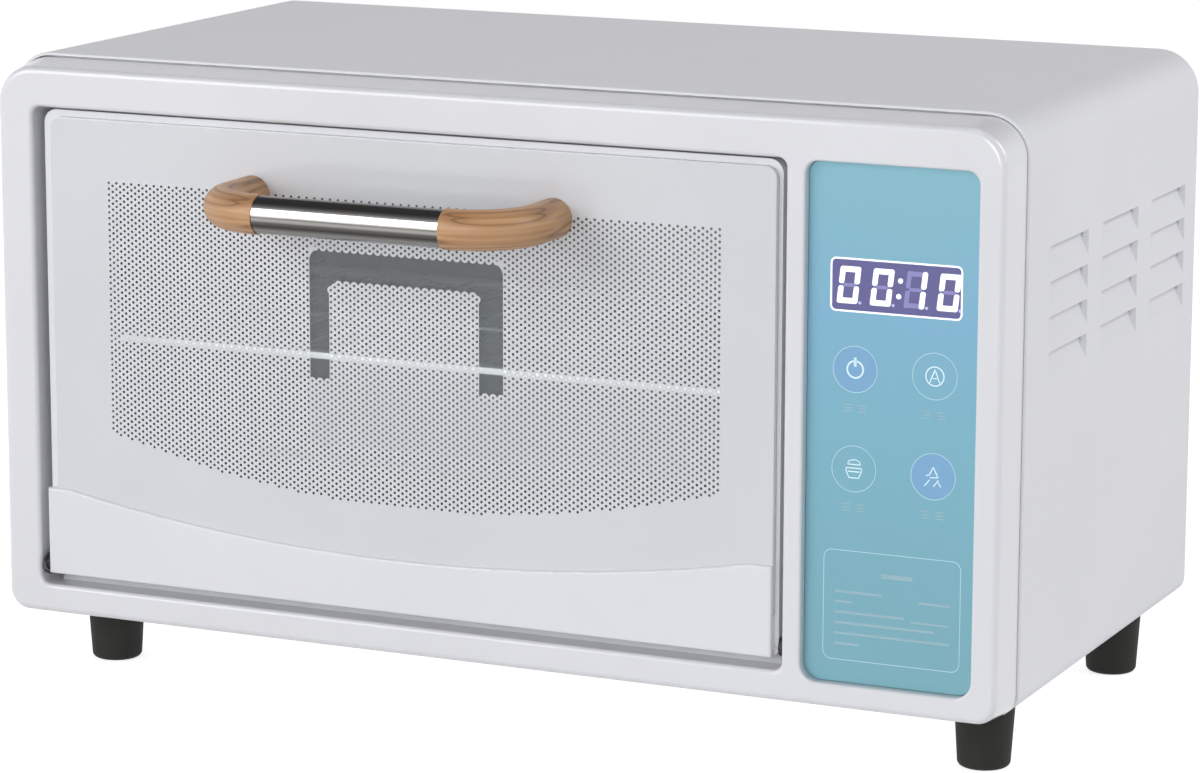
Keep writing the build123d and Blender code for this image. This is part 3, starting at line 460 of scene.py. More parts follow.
@dataclass(frozen=True)
class Pane(Finish):
    """Clear tempered glass that lets lamps through."""

    tint: Colour = (0.93, 0.97, 0.955)

    def paint(self, shader: Shader) -> None:
        """Lay the finish on a material."""
        shader.set({
            "Base Color": (*self.tint, 1.0), "Roughness": 0.02, "IOR": 1.5, "Transmission Weight": 1.0,
        })
        clear = shader.add("ShaderNodeBsdfTransparent", Color=(*self.tint, 1.0))
        path = shader.add("ShaderNodeLightPath")
        through = shader.maths("MAXIMUM", path.outputs["Is Shadow Ray"], path.outputs["Is Diffuse Ray"])
        mix = shader.add("ShaderNodeMixShader")
        shader.join(through, mix.inputs["Fac"])
        shader.join(shader.surface.outputs["BSDF"], mix.inputs[1])
        shader.join(clear.outputs["BSDF"], mix.inputs[2])
        shader.join(mix.outputs["Shader"], shader.nodes["Material Output"].inputs["Surface"])


@dataclass(frozen=True)
class SmokedFilm(Finish):
    """Thin even film that lets a part of what is behind it show."""

    colour: Colour
    cover: float

    def paint(self, shader: Shader) -> None:
        """Lay the finish on a material."""
        shader.set({"Base Color": (*self.colour, 1.0), "Roughness": 0.25, "Alpha": self.cover})


@dataclass(frozen=True)
class PrintedPanel(Finish):
    """Glossy touch panel with a soft blend of teal and blue from its foot to its top."""

    low_z: float
    high_z: float
    foot: Colour = (0.165, 0.425, 0.505)
    middle: Colour = (0.172, 0.470, 0.595)
    glow: Colour = (0.190, 0.470, 0.670)
    top: Colour = (0.205, 0.505, 0.610)
    drift: float = 0.16

    def paint(self, shader: Shader) -> None:
        """Lay the finish on a material."""
        shader.set({"Roughness": 0.28, "Coat Weight": 1.0, "Coat Roughness": 0.03})
        axes = shader.axes(shader.place())
        height = shader.share(axes["Z"], self.low_z, self.high_z)
        drift = shader.maths("MULTIPLY", shader.noise(shader.place(), 22.0, 1.0), self.drift)
        level = shader.maths("ADD", height, shader.maths("SUBTRACT", drift, self.drift / 2))
        stops = ((0.0, self.foot), (0.5, self.middle), (0.72, self.glow), (0.95, self.top))
        shader.feed(shader.ramp(level, stops), "Base Color")


@dataclass(frozen=True)
class Mark(Finish):
    """Flat printed or lit mark."""

    colour: Colour
    glow: float = 0.0
    roughness: float = 0.35

    def paint(self, shader: Shader) -> None:
        """Lay the finish on a material."""
        tone = shader.noise(shader.place(), 260.0, 1.0)
        shader.tint(tone, shade(self.colour, 0.97), self.colour)
        shader.set({
            "Roughness": self.roughness, "Emission Color": (*self.colour, 1.0),
            "Emission Strength": self.glow, "Coat Weight": 0.6, "Coat Roughness": 0.04,
        })


@dataclass(frozen=True)
class Wool(Finish):
    """Felted mineral fibre."""

    colour: Colour = (0.62, 0.55, 0.36)

    def paint(self, shader: Shader) -> None:
        """Lay the finish on a material."""
        fibres = shader.noise(shader.place((1.0, 3.0, 6.0)), 240.0, 5.0)
        shader.tint(fibres, shade(self.colour, 0.6), shade(self.colour, 1.15))
        shader.set({"Roughness": 0.95})
        shader.bump(fibres, 0.8, 0.6 * MM)


class Finishes:
    """Every finish of the sterilizer, by the record's material slot or by its own node."""

    bend_radius: float = 21.0 * MM

    def __init__(self) -> None:
        """Build one material for each slot, one for the bar and the rack each, and the two woods."""
        white = (0.800, 0.805, 0.832)
        rubber = (0.007, 0.007, 0.005)
        skins = {
            "white_plastic": Skin("moulded_white", white, 0.32, coat=0.9),
            "white_enamel": Skin("powder_coat_white", white, 0.42, 700.0, 0.05 * MM, 0.25),
            "door_plastic": Skin("moulded_door_white", (0.805, 0.812, 0.842), 0.32, coat=0.9),
            "foot_rubber": Skin("foot_rubber", rubber, 0.8, 1400.0, 0.04 * MM, 0.4, 0.12, 60.0),
            "black_plastic": Skin("black_plastic", (0.022, 0.022, 0.024), 0.45),
            "ceramic": Skin("ceramic", (0.76, 0.73, 0.66), 0.6, 1200.0, 0.05 * MM, 0.4),
            "board_green": Skin("board_laminate", (0.015, 0.110, 0.045), 0.35, 500.0, coat=0.4),
            "component_black": Skin("component_black", (0.030, 0.030, 0.034), 0.5),
            "terminal_green": Skin("terminal_green", (0.030, 0.210, 0.090), 0.4),
            "silicone": Skin("silicone", (0.62, 0.62, 0.61), 0.7),
        }
        metals = {
            "galvanised": Metal("galvanised_sheet", (0.56, 0.57, 0.58), 0.38, streak_scale=90.0),
            "liner_steel": Metal("liner_sheet", (0.19, 0.195, 0.20), 0.42, (1.0, 1.0, 0.15), 320.0),
            "bar_steel": Metal("bright_pin", (0.70, 0.68, 0.65), 0.2, (0.02, 1.0, 1.0), 2600.0, 0.05),
            "rack_chrome": Metal("plated_wire", (0.90, 0.90, 0.91), 0.30, streak_scale=200.0),
            "screw_steel": Metal("zinc_screw", (0.60, 0.60, 0.61), 0.3),
            "heater_metal": Metal("oxidised_tube", (0.16, 0.15, 0.145), 0.5, streak_scale=300.0),
            "spring_steel": Metal("dark_wire", (0.10, 0.10, 0.105), 0.38),
        }
        self.by_slot = {slot: finish.make() for slot, finish in {**skins, **metals}.items()}
        self.by_slot["mineral_wool"] = Wool("mineral_wool").make()
        self.by_slot["pane_glass"] = Pane("tempered_pane").make()
        panel, tube, rack = (Box.of(node) for node in ("control_panel", "handle_bar", "wire_rack"))
        self.by_slot["panel_film"] = PrintedPanel("panel_film", panel.low.z, panel.high.z).make()
        radius = (tube.high.z - tube.low.z) / 2
        self.by_node = {
            "handle_bar": PolishedTube("polished_tube", tube.centre.z, radius).make(),
            "wire_rack": RackWire("plated_rack_wire", rack.low.y, rack.high.z).make(),
        }
        self.woods = {side: self._wood(side) for side in ("left", "right")}

    def _wood(self, side: str) -> Material:
        """Wood for one elbow, bent about the middle of that elbow's curve.

        Args:
            side: "left" or "right".

        Returns:
            The material.
        """
        grip, bar = Box.of(f"handle_grip_{side}"), Box.of("handle_bar")
        grip_radius = (grip.high.z - grip.low.z) / 2
        sign = -1 if side == "left" else 1
        arm_x = grip.low.x + grip_radius if side == "left" else grip.high.x - grip_radius
        centre = (arm_x - sign * self.bend_radius, bar.centre.y + self.bend_radius, bar.centre.z)
        return BentWood(f"oiled_wood_{side}", centre, sign).make()

    def dress_frame(self) -> None:
        """Give every CAD node its own finish, or else the finish of its slot."""
        for part in frame["record"]["subparts"]:
            node, slot = part["node"], part["material_slot"]
            side = node.rsplit("_", 1)[-1]
            general = self.woods[side] if slot == "wood" else self.by_slot[slot]
            material = self.by_node.get(node, general)
            mesh = frame["nodes"][node].data
            mesh.materials.clear()
            mesh.materials.append(material)
            LOG.info("node %s finished as %s", node, material.name)


# ---------------------------------------------------------------- piece building
def vertices(geometry: Iterable[object]) -> list[Vert]:
    """The vertices among an operator's mixed output."""
    return [item for item in geometry if isinstance(item, Vert)]


def face_front(mesh: Mesh) -> None:
    """Turn every face that looks towards +Y round to -Y."""
    mesh.normal_update()
    bmesh.ops.reverse_faces(mesh, faces=[f for f in mesh.faces if f.normal.y > 0])


class Piece:
    """One added piece under construction."""

    def __init__(self, name: str, mesh: Mesh | None = None) -> None:
        """Start a piece.

        Args:
            name: Name of the piece.
            mesh: Mesh that it starts from, or None for an empty one.
        """
        self.name = name
        self.mesh = mesh or bmesh.new()

    def take(self, other: Piece) -> None:
        """Move all of another piece's mesh into this one."""
        data = bpy.data.meshes.new(other.name)
        other.mesh.to_mesh(data)
        other.mesh.free()
        self.mesh.from_mesh(data)
        bpy.data.meshes.remove(data)

    def box(self, centre: Vector, size: Point, angle: float = 0.0) -> list[Vert]:
        """Add a box, turned about the Y axis through its own middle.

        Args:
            centre: Middle of the box.
            size: Full size along X, Y and Z.
            angle: Turn in radians, from +Z towards +X.

        Returns:
            The new vertices.
        """
        turn = Matrix.Rotation(angle, 4, "Y")
        placed = Matrix.Translation(centre) @ turn @ Matrix.Diagonal((*size, 1.0))
        return bmesh.ops.create_cube(self.mesh, size=1.0, matrix=placed)["verts"]

    def plate(self, centre: Vector, size: Point, radius: float, segments: int = 6) -> list[Vert]:
        """Add a thin upright plate with rounded corners.

        Args:
            centre: Middle of the plate.
            size: Full size along X, Y and Z.
            radius: Radius of the four corners.
            segments: Facets in each corner.

        Returns:
            The new vertices.
        """
        verts = self.box(centre, size)
        edges = [e for e in {e for v in verts for e in v.link_edges}
                 if abs(e.verts[0].co.y - e.verts[1].co.y) > size[1] / 2]
        made = bmesh.ops.bevel(self.mesh, geom=edges, offset=radius, offset_type="OFFSET",
                               segments=segments, affect="EDGES", profile=0.5, material=-1)
        return list({*(v for v in verts if v.is_valid), *made["verts"]})

    def sheet(self, placed: Matrix) -> list[Vert]:
        """Add one square face of side 2, moved by a matrix, and give its vertices."""
        made = bmesh.ops.create_grid(self.mesh, x_segments=1, y_segments=1, size=1.0, matrix=placed)
        return made["verts"]

    def frame(self, centre: Vector, size: Point, radius: float, width: float) -> None:
        """Add an upright frame line with rounded corners.

        Args:
            centre: Middle of the frame.
            size: Full outer size along X, Y and Z.
            radius: Outer radius of the corners.
            width: Width of the line.
        """
        flat = UPRIGHT @ Matrix.Diagonal((size[0] / 2, size[2] / 2, 1.0, 1.0))
        front = Matrix.Translation(centre - Vector((0.0, size[1] / 2, 0.0))) @ flat
        verts = self.sheet(front)
        sheet = bmesh.ops.bevel(self.mesh, geom=verts, offset=radius, offset_type="OFFSET", segments=6,
                                affect="VERTICES", profile=0.5, material=-1)
        middle = next(iter({f for v in sheet["verts"] for f in v.link_faces}))
        band = bmesh.ops.inset_individual(self.mesh, faces=[middle], thickness=width, depth=0.0)["faces"]
        bmesh.ops.delete(self.mesh, geom=[middle], context="FACES_ONLY")
        back = bmesh.ops.extrude_face_region(self.mesh, geom=band)["geom"]
        bmesh.ops.translate(self.mesh, vec=(0.0, size[1], 0.0), verts=vertices(back))

    def ring(self, centre: Vector, radius: float, width: float, depth: float, segments: int = 48) -> None:
        """Add a flat ring around the Y axis.

        Args:
            centre: Middle of the ring.
            radius: Mean radius.
            width: Width of the band.
            depth: Thickness along Y.
            segments: Facets around.
        """
        corners = ((radius - width / 2, -depth / 2), (radius + width / 2, -depth / 2),
                   (radius + width / 2, depth / 2), (radius - width / 2, depth / 2))
        verts = [self.mesh.verts.new(centre + Vector((x, y, 0.0))) for x, y in corners]
        edges = [self.mesh.edges.new((verts[i], verts[(i + 1) % 4])) for i in range(4)]
        bmesh.ops.spin(self.mesh, geom=verts + edges, cent=centre, axis=(0.0, 1.0, 0.0),
                       angle=math.tau, steps=segments, use_merge=True, use_duplicate=False)

    def disc(self, centre: Vector, radius: float, depth: float, segments: int = 16) -> None:
        """Add a flat round disc across the Y axis.

        Args:
            centre: Middle of the disc.
            radius: Radius.
            depth: Thickness along Y.
            segments: Facets around.
        """
        placed = Matrix.Translation(centre) @ UPRIGHT
        bmesh.ops.create_cone(self.mesh, cap_ends=True, cap_tris=False, segments=segments,
                              radius1=radius, radius2=radius, depth=depth, matrix=placed)

    def stroke(self, start: Vector, end: Vector, width: float, depth: float) -> None:
        """Add a straight stroke between two points of an upright plane.

        Args:
            start: First point.
            end: Last point.
            width: Width of the stroke.
            depth: Thickness along Y.
        """
        along = end - start
        angle = math.atan2(along.x, along.z)
        self.box((start + end) / 2, (width, depth, along.length + width * 0.6), angle)

    def finish(self, material: Material, body: Body, slot: str, tidy: bool = True) -> None:
        """Turn the piece into an object that rides on a body.

        Args:
            material: Finish of the piece.
            body: Body that carries it.
            slot: The record's slot for the piece; not used.
            tidy: True to recalculate the normals of closed shapes.
        """
        if tidy:
            bmesh.ops.recalc_face_normals(self.mesh, faces=self.mesh.faces[:])
        data = bpy.data.meshes.new(self.name)
        self.mesh.to_mesh(data)
        self.mesh.free()
        data.materials.append(material)
        piece = bpy.data.objects.new(self.name, data)
        bpy.context.scene.collection.objects.link(piece)
        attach(piece, body.value)
        LOG.info("piece %s: %d faces on %s", self.name, len(data.polygons), body.value)


# ---------------------------------------------------------------- print on the pane
class Cell(Enum):
    """What one cell of the print's lattice is."""

    DOT = "see-through dot"
    SOLID = "plain print"
    OPEN = "no print"


@dataclass(frozen=True)
class PanePrint:
    """Fired white print on the pane: a plain border and a staggered field of see-through dots.

    The field has a long hollow arc for its lower edge, and an arch of bare glass near its middle.
    """

    left_margin: float = 23.4 * MM
    right_margin: float = 20.2 * MM
    top_margin: float = 20.9 * MM
    arc_end_margin: float = 112.2 * MM
    arc_middle_margin: float = 128.6 * MM
    column_pitch: float = 1.515 * MM
    row_pitch: float = 2.10 * MM
    dot_radius: float = 0.49 * MM
    collar_radius: float = 1.4 * MM
    stand_off: float = 0.05 * MM
    collar_lift: float = 0.01 * MM
    rounding_lift: float = 0.03 * MM
    wrap: float = 0.16 * MM
    wrap_depth: float = 2.15 * MM
    wrap_round: float = 0.35 * MM
    corner_radius: float = 4.0 * MM
    arch_left: float = 102.7 * MM
    arch_right: float = 176.8 * MM
    arch_top: float = 39.4 * MM
    arch_foot: float = 85.7 * MM
    arch_leg: float = 8.4 * MM
    arch_crown: float = 11.8 * MM
    outer_corner: Pair = (6.2 * MM, 4.8 * MM)
    inner_corner: Pair = (1.8 * MM, 1.3 * MM)
    weld: float = 0.002 * MM

    @property
    def pane(self) -> Box:
        """The pane's box."""
        return Box.of("door_glass")

    @property
    def columns(self) -> int:
        """Columns of dots across the field, an odd number so that both sides end alike."""
        width = self.pane.high.x - self.pane.low.x - self.left_margin - self.right_margin
        return 2 * round(width / self.column_pitch / 2) + 1

    @property
    def rows(self) -> int:
        """Rows of dots in a full column."""
        return round((self.arc_middle_margin - self.top_margin) / self.row_pitch)

    @property
    def first_x(self) -> float:
        """X of the first column of dots."""
        return self.pane.low.x + self.left_margin

    @property
    def top_z(self) -> float:
        """Top of the field of dots."""
        return self.pane.high.z - self.top_margin

    def _in_arch(self, x: float, drop: float) -> bool:
        """True where the glass is left bare.

        Args:
            x: Distance from the pane's left edge.
            drop: Distance below the pane's top edge.

        Returns:
            Whether the point lies in the arch's band.
        """
        def inside(left: float, right: float, top: float) -> bool:
            """True within an upright rectangle that ends at the arch's foot."""
            return left < x < right and top < drop < self.arch_foot

        left, right = self.arch_left + self.arch_leg, self.arch_right - self.arch_leg
        top = self.arch_top + self.arch_crown
        across = min(x - left, right - x) / self.inner_corner[0]
        down = (drop - top) / self.inner_corner[1]
        filled = inside(left, right, top) and across + down > 1.0
        return inside(self.arch_left, self.arch_right, self.arch_top) and not filled

    def _arc_drop(self, x: float) -> float:
        """How far below the pane's top edge the field's lower edge lies.

        Args:
            x: Distance from the pane's left edge.

        Returns:
            The drop of a parabola that hangs lowest at the field's middle.
        """
        right = self.pane.high.x - self.pane.low.x - self.right_margin
        share = (2 * x - self.left_margin - right) / (right - self.left_margin)
        return self.arc_middle_margin - (self.arc_middle_margin - self.arc_end_margin) * share * share

    def _cell(self, x: float, drop: float) -> Cell:
        """What the cell centred at a point is."""
        if self._in_arch(x, drop):
            return Cell.OPEN
        return Cell.DOT if drop < self._arc_drop(x) - self.row_pitch / 4 else Cell.SOLID

    def _tile(self, kind: Cell) -> Mesh:
        """One cell about the origin, in the XZ plane and facing -Y.

        Args:
            kind: DOT for a cell with a round hole, any other for a plain one.

        Returns:
            The cell's mesh.
        """
        mesh = bmesh.new()
        parts = 2 if kind is Cell.DOT else 1
        grid = bmesh.ops.create_grid(mesh, x_segments=parts, y_segments=parts, size=1.0)["verts"]
        middle = [v for v in grid if v.co.length < 0.5]
        bmesh.ops.scale(mesh, vec=(self.column_pitch / 2, self.row_pitch / 2, 1.0), verts=grid)
        if middle:
            bmesh.ops.delete(mesh, geom=middle, context="VERTS")
            bmesh.ops.create_circle(mesh, segments=8, radius=self.dot_radius)
            bmesh.ops.bridge_loops(mesh, edges=mesh.edges[:])
        bmesh.ops.rotate(mesh, cent=(0.0, 0.0, 0.0), matrix=UPRIGHT.to_3x3(), verts=mesh.verts[:])
        face_front(mesh)
        return mesh

    @staticmethod
    def _repeat(mesh: Mesh, count: int, step: Vector) -> None:
        """Double the mesh's stock along a step until it holds at least a number of copies.

        Args:
            mesh: Mesh that is repeated.
            count: Least number of copies.
            step: Distance from one copy to the next.
        """
        stock = 1
        while stock < count:
            copy = bmesh.ops.duplicate(mesh, geom=mesh.verts[:] + mesh.edges[:] + mesh.faces[:])["geom"]
            bmesh.ops.translate(mesh, vec=step * stock, verts=vertices(copy))
            stock *= 2

    def _lattice(self, kind: Cell, plane_y: float) -> Piece:
        """Every cell of one kind.

        Args:
            kind: Kind of cell.
            plane_y: Plane of the cells.

        Returns:
            A piece that holds the cells.
        """
        piece = Piece(kind.name, self._tile(kind))
        mesh = piece.mesh
        left, top = self.first_x, self.top_z
        self._repeat(mesh, self.rows, Vector((0.0, 0.0, -self.row_pitch)))
        self._repeat(mesh, 2, Vector((self.column_pitch, 0.0, -self.row_pitch / 2)))
        self._repeat(mesh, (self.columns + 1) // 2, Vector((2 * self.column_pitch, 0.0, 0.0)))
        bmesh.ops.translate(mesh, vec=(left, plane_y, top - self.row_pitch / 2), verts=mesh.verts[:])
        unwanted = []
        for face in mesh.faces:
            middle = face.calc_center_median()
            index = round((middle.x - left) / self.column_pitch)
            stagger = self._stagger(index)
            row = round((top - stagger - middle.z) / self.row_pitch)
            drop = self.top_margin + stagger + row * self.row_pitch
            past = index >= self.columns or row >= self.rows - index % 2
            if past or self._cell(self.left_margin + index * self.column_pitch, drop) is not kind:
                unwanted.append(face)
        bmesh.ops.delete(mesh, geom=unwanted, context="FACES")
        return piece

    def _stagger(self, index: int) -> float:
        """Drop of a column's first dot below the field's top."""
        return self.row_pitch * (0.5 if index % 2 == 0 else 1.0)

    def _caps(self, piece: Piece, plane_y: float) -> None:
        """Fill the half cells above and below the staggered columns."""
        wide, high = self.column_pitch / 2, self.row_pitch / 4
        for index in range(1, self.columns, 2):
            x = self.first_x + index * self.column_pitch
            for z in (self.top_z - high, self.top_z - (self.rows - 0.25) * self.row_pitch):
                self._patch(piece, (x - wide, x + wide), (z - high, z + high), plane_y)

    def _patch(self, piece: Piece, xs: Pair, zs: Pair, plane_y: float, round_top: int = 0) -> None:
        """Add one flat rectangle of print that faces the front.

        Args:
            piece: Piece that receives it.
            xs: Left and right ends.
            zs: Lower and upper ends.
            plane_y: Plane of the print.
            round_top: -1 or 1 to round the left or right upper corner, 0 for neither.
        """
        middle = Vector((sum(xs) / 2, plane_y, sum(zs) / 2))
        size = Matrix.Diagonal(((xs[1] - xs[0]) / 2, (zs[1] - zs[0]) / 2, 1.0, 1.0))
        verts = piece.sheet(Matrix.Translation(middle) @ UPRIGHT @ size)
        corner_x = xs[0] if round_top < 0 else xs[1]
        corner = [v for v in verts if round_top and abs(v.co.x - corner_x) < MM * 0.1 and v.co.z > middle.z]
        if corner:
            bmesh.ops.bevel(piece.mesh, geom=corner, offset=self.corner_radius, offset_type="OFFSET",
                            segments=6, affect="VERTICES", profile=0.5, material=-1)

    def _border(self, piece: Piece, plane_y: float) -> None:
        """Add the plain border from the field out to the pane's edges."""
        pane = self.pane
        field_left = self.first_x - self.column_pitch / 2
        field_right = field_left + self.columns * self.column_pitch
        field_top = self.top_z
        field_foot = field_top - self.rows * self.row_pitch
        left, right = pane.low.x - self.wrap, pane.high.x + self.wrap
        top, foot = pane.high.z + self.wrap, pane.low.z
        west, middle, east = (left, field_left), (field_left, field_right), (field_right, right)
        for round_top, xs in ((-1, west), (0, middle), (1, east)):
            self._patch(piece, xs, (field_top, top), plane_y, round_top)
        for xs, upper in ((west, field_top), (east, field_top), (middle, field_foot)):
            self._patch(piece, xs, (foot, upper), plane_y)

    def _return(self, piece: Piece) -> None:
        """Turn the border back over the pane's sides and top, with a small round on the turn."""
        mesh, pane = piece.mesh, self.pane
        inset = self.corner_radius

        def outer(vertex: Vert) -> bool:
            """True on the pane's left, right or top outline."""
            across = max(pane.low.x - vertex.co.x, vertex.co.x - pane.high.x)
            above = vertex.co.z - pane.high.z
            corner = across > -inset and above > -inset and vertex.is_boundary
            return across > 0 or above > 0 or corner

        rim = [e for e in mesh.edges if e.is_boundary and all(outer(v) for v in e.verts)]
        made = bmesh.ops.extrude_edge_only(mesh, edges=rim)["geom"]
        bmesh.ops.translate(mesh, vec=(0.0, self.wrap_depth, 0.0), verts=vertices(made))
        turn = [e for e in rim if e.is_valid]
        bmesh.ops.bevel(mesh, geom=turn, offset=self.wrap_round, offset_type="OFFSET", segments=3,
                        affect="EDGES", profile=0.5, material=-1, clamp_overlap=True)

    def _collars(self, plane_y: float) -> Piece:
        """Round collars about the dots that border the arch from above or below.

        Collars of neighbouring columns overlap, so every other column's lie a little further out.

        Args:
            plane_y: Plane of the inner collars.

        Returns:
            A piece that holds them.
        """
        piece = Piece("collars")
        for index in range(self.columns):
            across = self.left_margin + index * self.column_pitch
            for row in range(self.rows):
                drop = self.top_margin + self._stagger(index) + row * self.row_pitch
                beside = (drop - self.row_pitch, drop + self.row_pitch)
                if self._in_arch(across, drop) or not any(self._in_arch(across, d) for d in beside):
                    continue
                layer = plane_y - self.collar_lift * (index % 2)
                centre = Vector((self.pane.low.x + across, layer, self.top_z + self.top_margin - drop))
                placed = Matrix.Translation(centre) @ UPRIGHT
                edges = {edge for radius in (self.dot_radius, self.collar_radius)
                         for edge in self._circle(piece.mesh, radius, placed)}
                bmesh.ops.bridge_loops(piece.mesh, edges=list(edges))
        face_front(piece.mesh)
        return piece

    @staticmethod
    def _circle(mesh: Mesh, radius: float, placed: Matrix) -> set[bmesh.types.BMEdge]:
        """Edges of a new circle of 16 facets."""
        verts = bmesh.ops.create_circle(mesh, segments=16, radius=radius, matrix=placed)["verts"]
        return {edge for vert in verts for edge in vert.link_edges}

    def _roundings(self, plane_y: float) -> Piece:
        """Fillets of print in the two upper outer corners of the arch.

        Args:
            plane_y: Plane of the fillets.

        Returns:
            A piece that holds them.
        """
        piece = Piece("roundings")
        columns = [i for i in range(self.columns)
                   if self.arch_left < self.left_margin + i * self.column_pitch < self.arch_right]
        rows = int((self.arch_top - self.top_margin) / self.row_pitch - 0.5)
        top = self.top_z - (rows + 0.5) * self.row_pitch
        across, down = self.outer_corner
        for side, index in ((-1, columns[0] - 0.5), (1, columns[-1] + 0.5)):
            mesh = self._unit_rounding(side)
            x = self.first_x + index * self.column_pitch - side * across
            size = Matrix.Diagonal((across, down, 1.0, 1.0))
            placed = Matrix.Translation((x, plane_y, top - down)) @ UPRIGHT @ size
            bmesh.ops.transform(mesh, matrix=placed, verts=mesh.verts[:])
            piece.take(Piece("rounding", mesh))
        face_front(piece.mesh)
        return piece

    @staticmethod
    def _unit_rounding(side: int) -> Mesh:
        """What one upper quarter of a square of side 2 keeps outside its round.

        Args:
            side: -1 for the left quarter, 1 for the right one.

        Returns:
            The fillet's mesh, in the XY plane.
        """
        mesh = bmesh.new()
        grid = bmesh.ops.create_grid(mesh, x_segments=8, y_segments=8, size=1.0)["verts"]
        inner = [v for v in grid if max(abs(v.co.x), abs(v.co.y)) < 0.99]
        bmesh.ops.delete(mesh, geom=inner, context="VERTS")
        bmesh.ops.create_circle(mesh, segments=32, radius=1.0)
        bmesh.ops.bridge_loops(mesh, edges=mesh.edges[:])
        middles = [(f, f.calc_center_median()) for f in mesh.faces]
        rest = [f for f, middle in middles if middle.x * side < 0 or middle.y < 0]
        bmesh.ops.delete(mesh, geom=rest, context="FACES")
        return mesh

    def build(self, material: Material, tint: Material) -> None:
        """Make the print and the smoked film behind the arch.

        Args:
            material: Finish of the print.
            tint: Finish of the film.
        """
        plane_y = self.pane.low.y - self.stand_off
        piece = Piece("pane_print")
        self._caps(piece, plane_y)
        self._border(piece, plane_y)
        piece.take(self._lattice(Cell.DOT, plane_y))
        piece.take(self._lattice(Cell.SOLID, plane_y))
        bmesh.ops.remove_doubles(piece.mesh, verts=piece.mesh.verts[:], dist=self.weld)
        self._return(piece)
        piece.take(self._collars(plane_y - self.collar_lift))
        piece.take(self._roundings(plane_y - self.rounding_lift))
        piece.finish(material, Body.DOOR, "pane_glass", tidy=False)
        self._film(tint)

    def _film(self, tint: Material) -> None:
        """Add the smoked film that fills the arch cell by cell, just behind the print's plane.

        Args:
            tint: Finish of the film.
        """
        film = self._lattice(Cell.OPEN, self.pane.low.y - self.stand_off / 2)
        bmesh.ops.remove_doubles(film.mesh, verts=film.mesh.verts[:], dist=self.weld)
        film.name = "arch_film"
        film.finish(tint, Body.DOOR, "pane_glass", tidy=False)


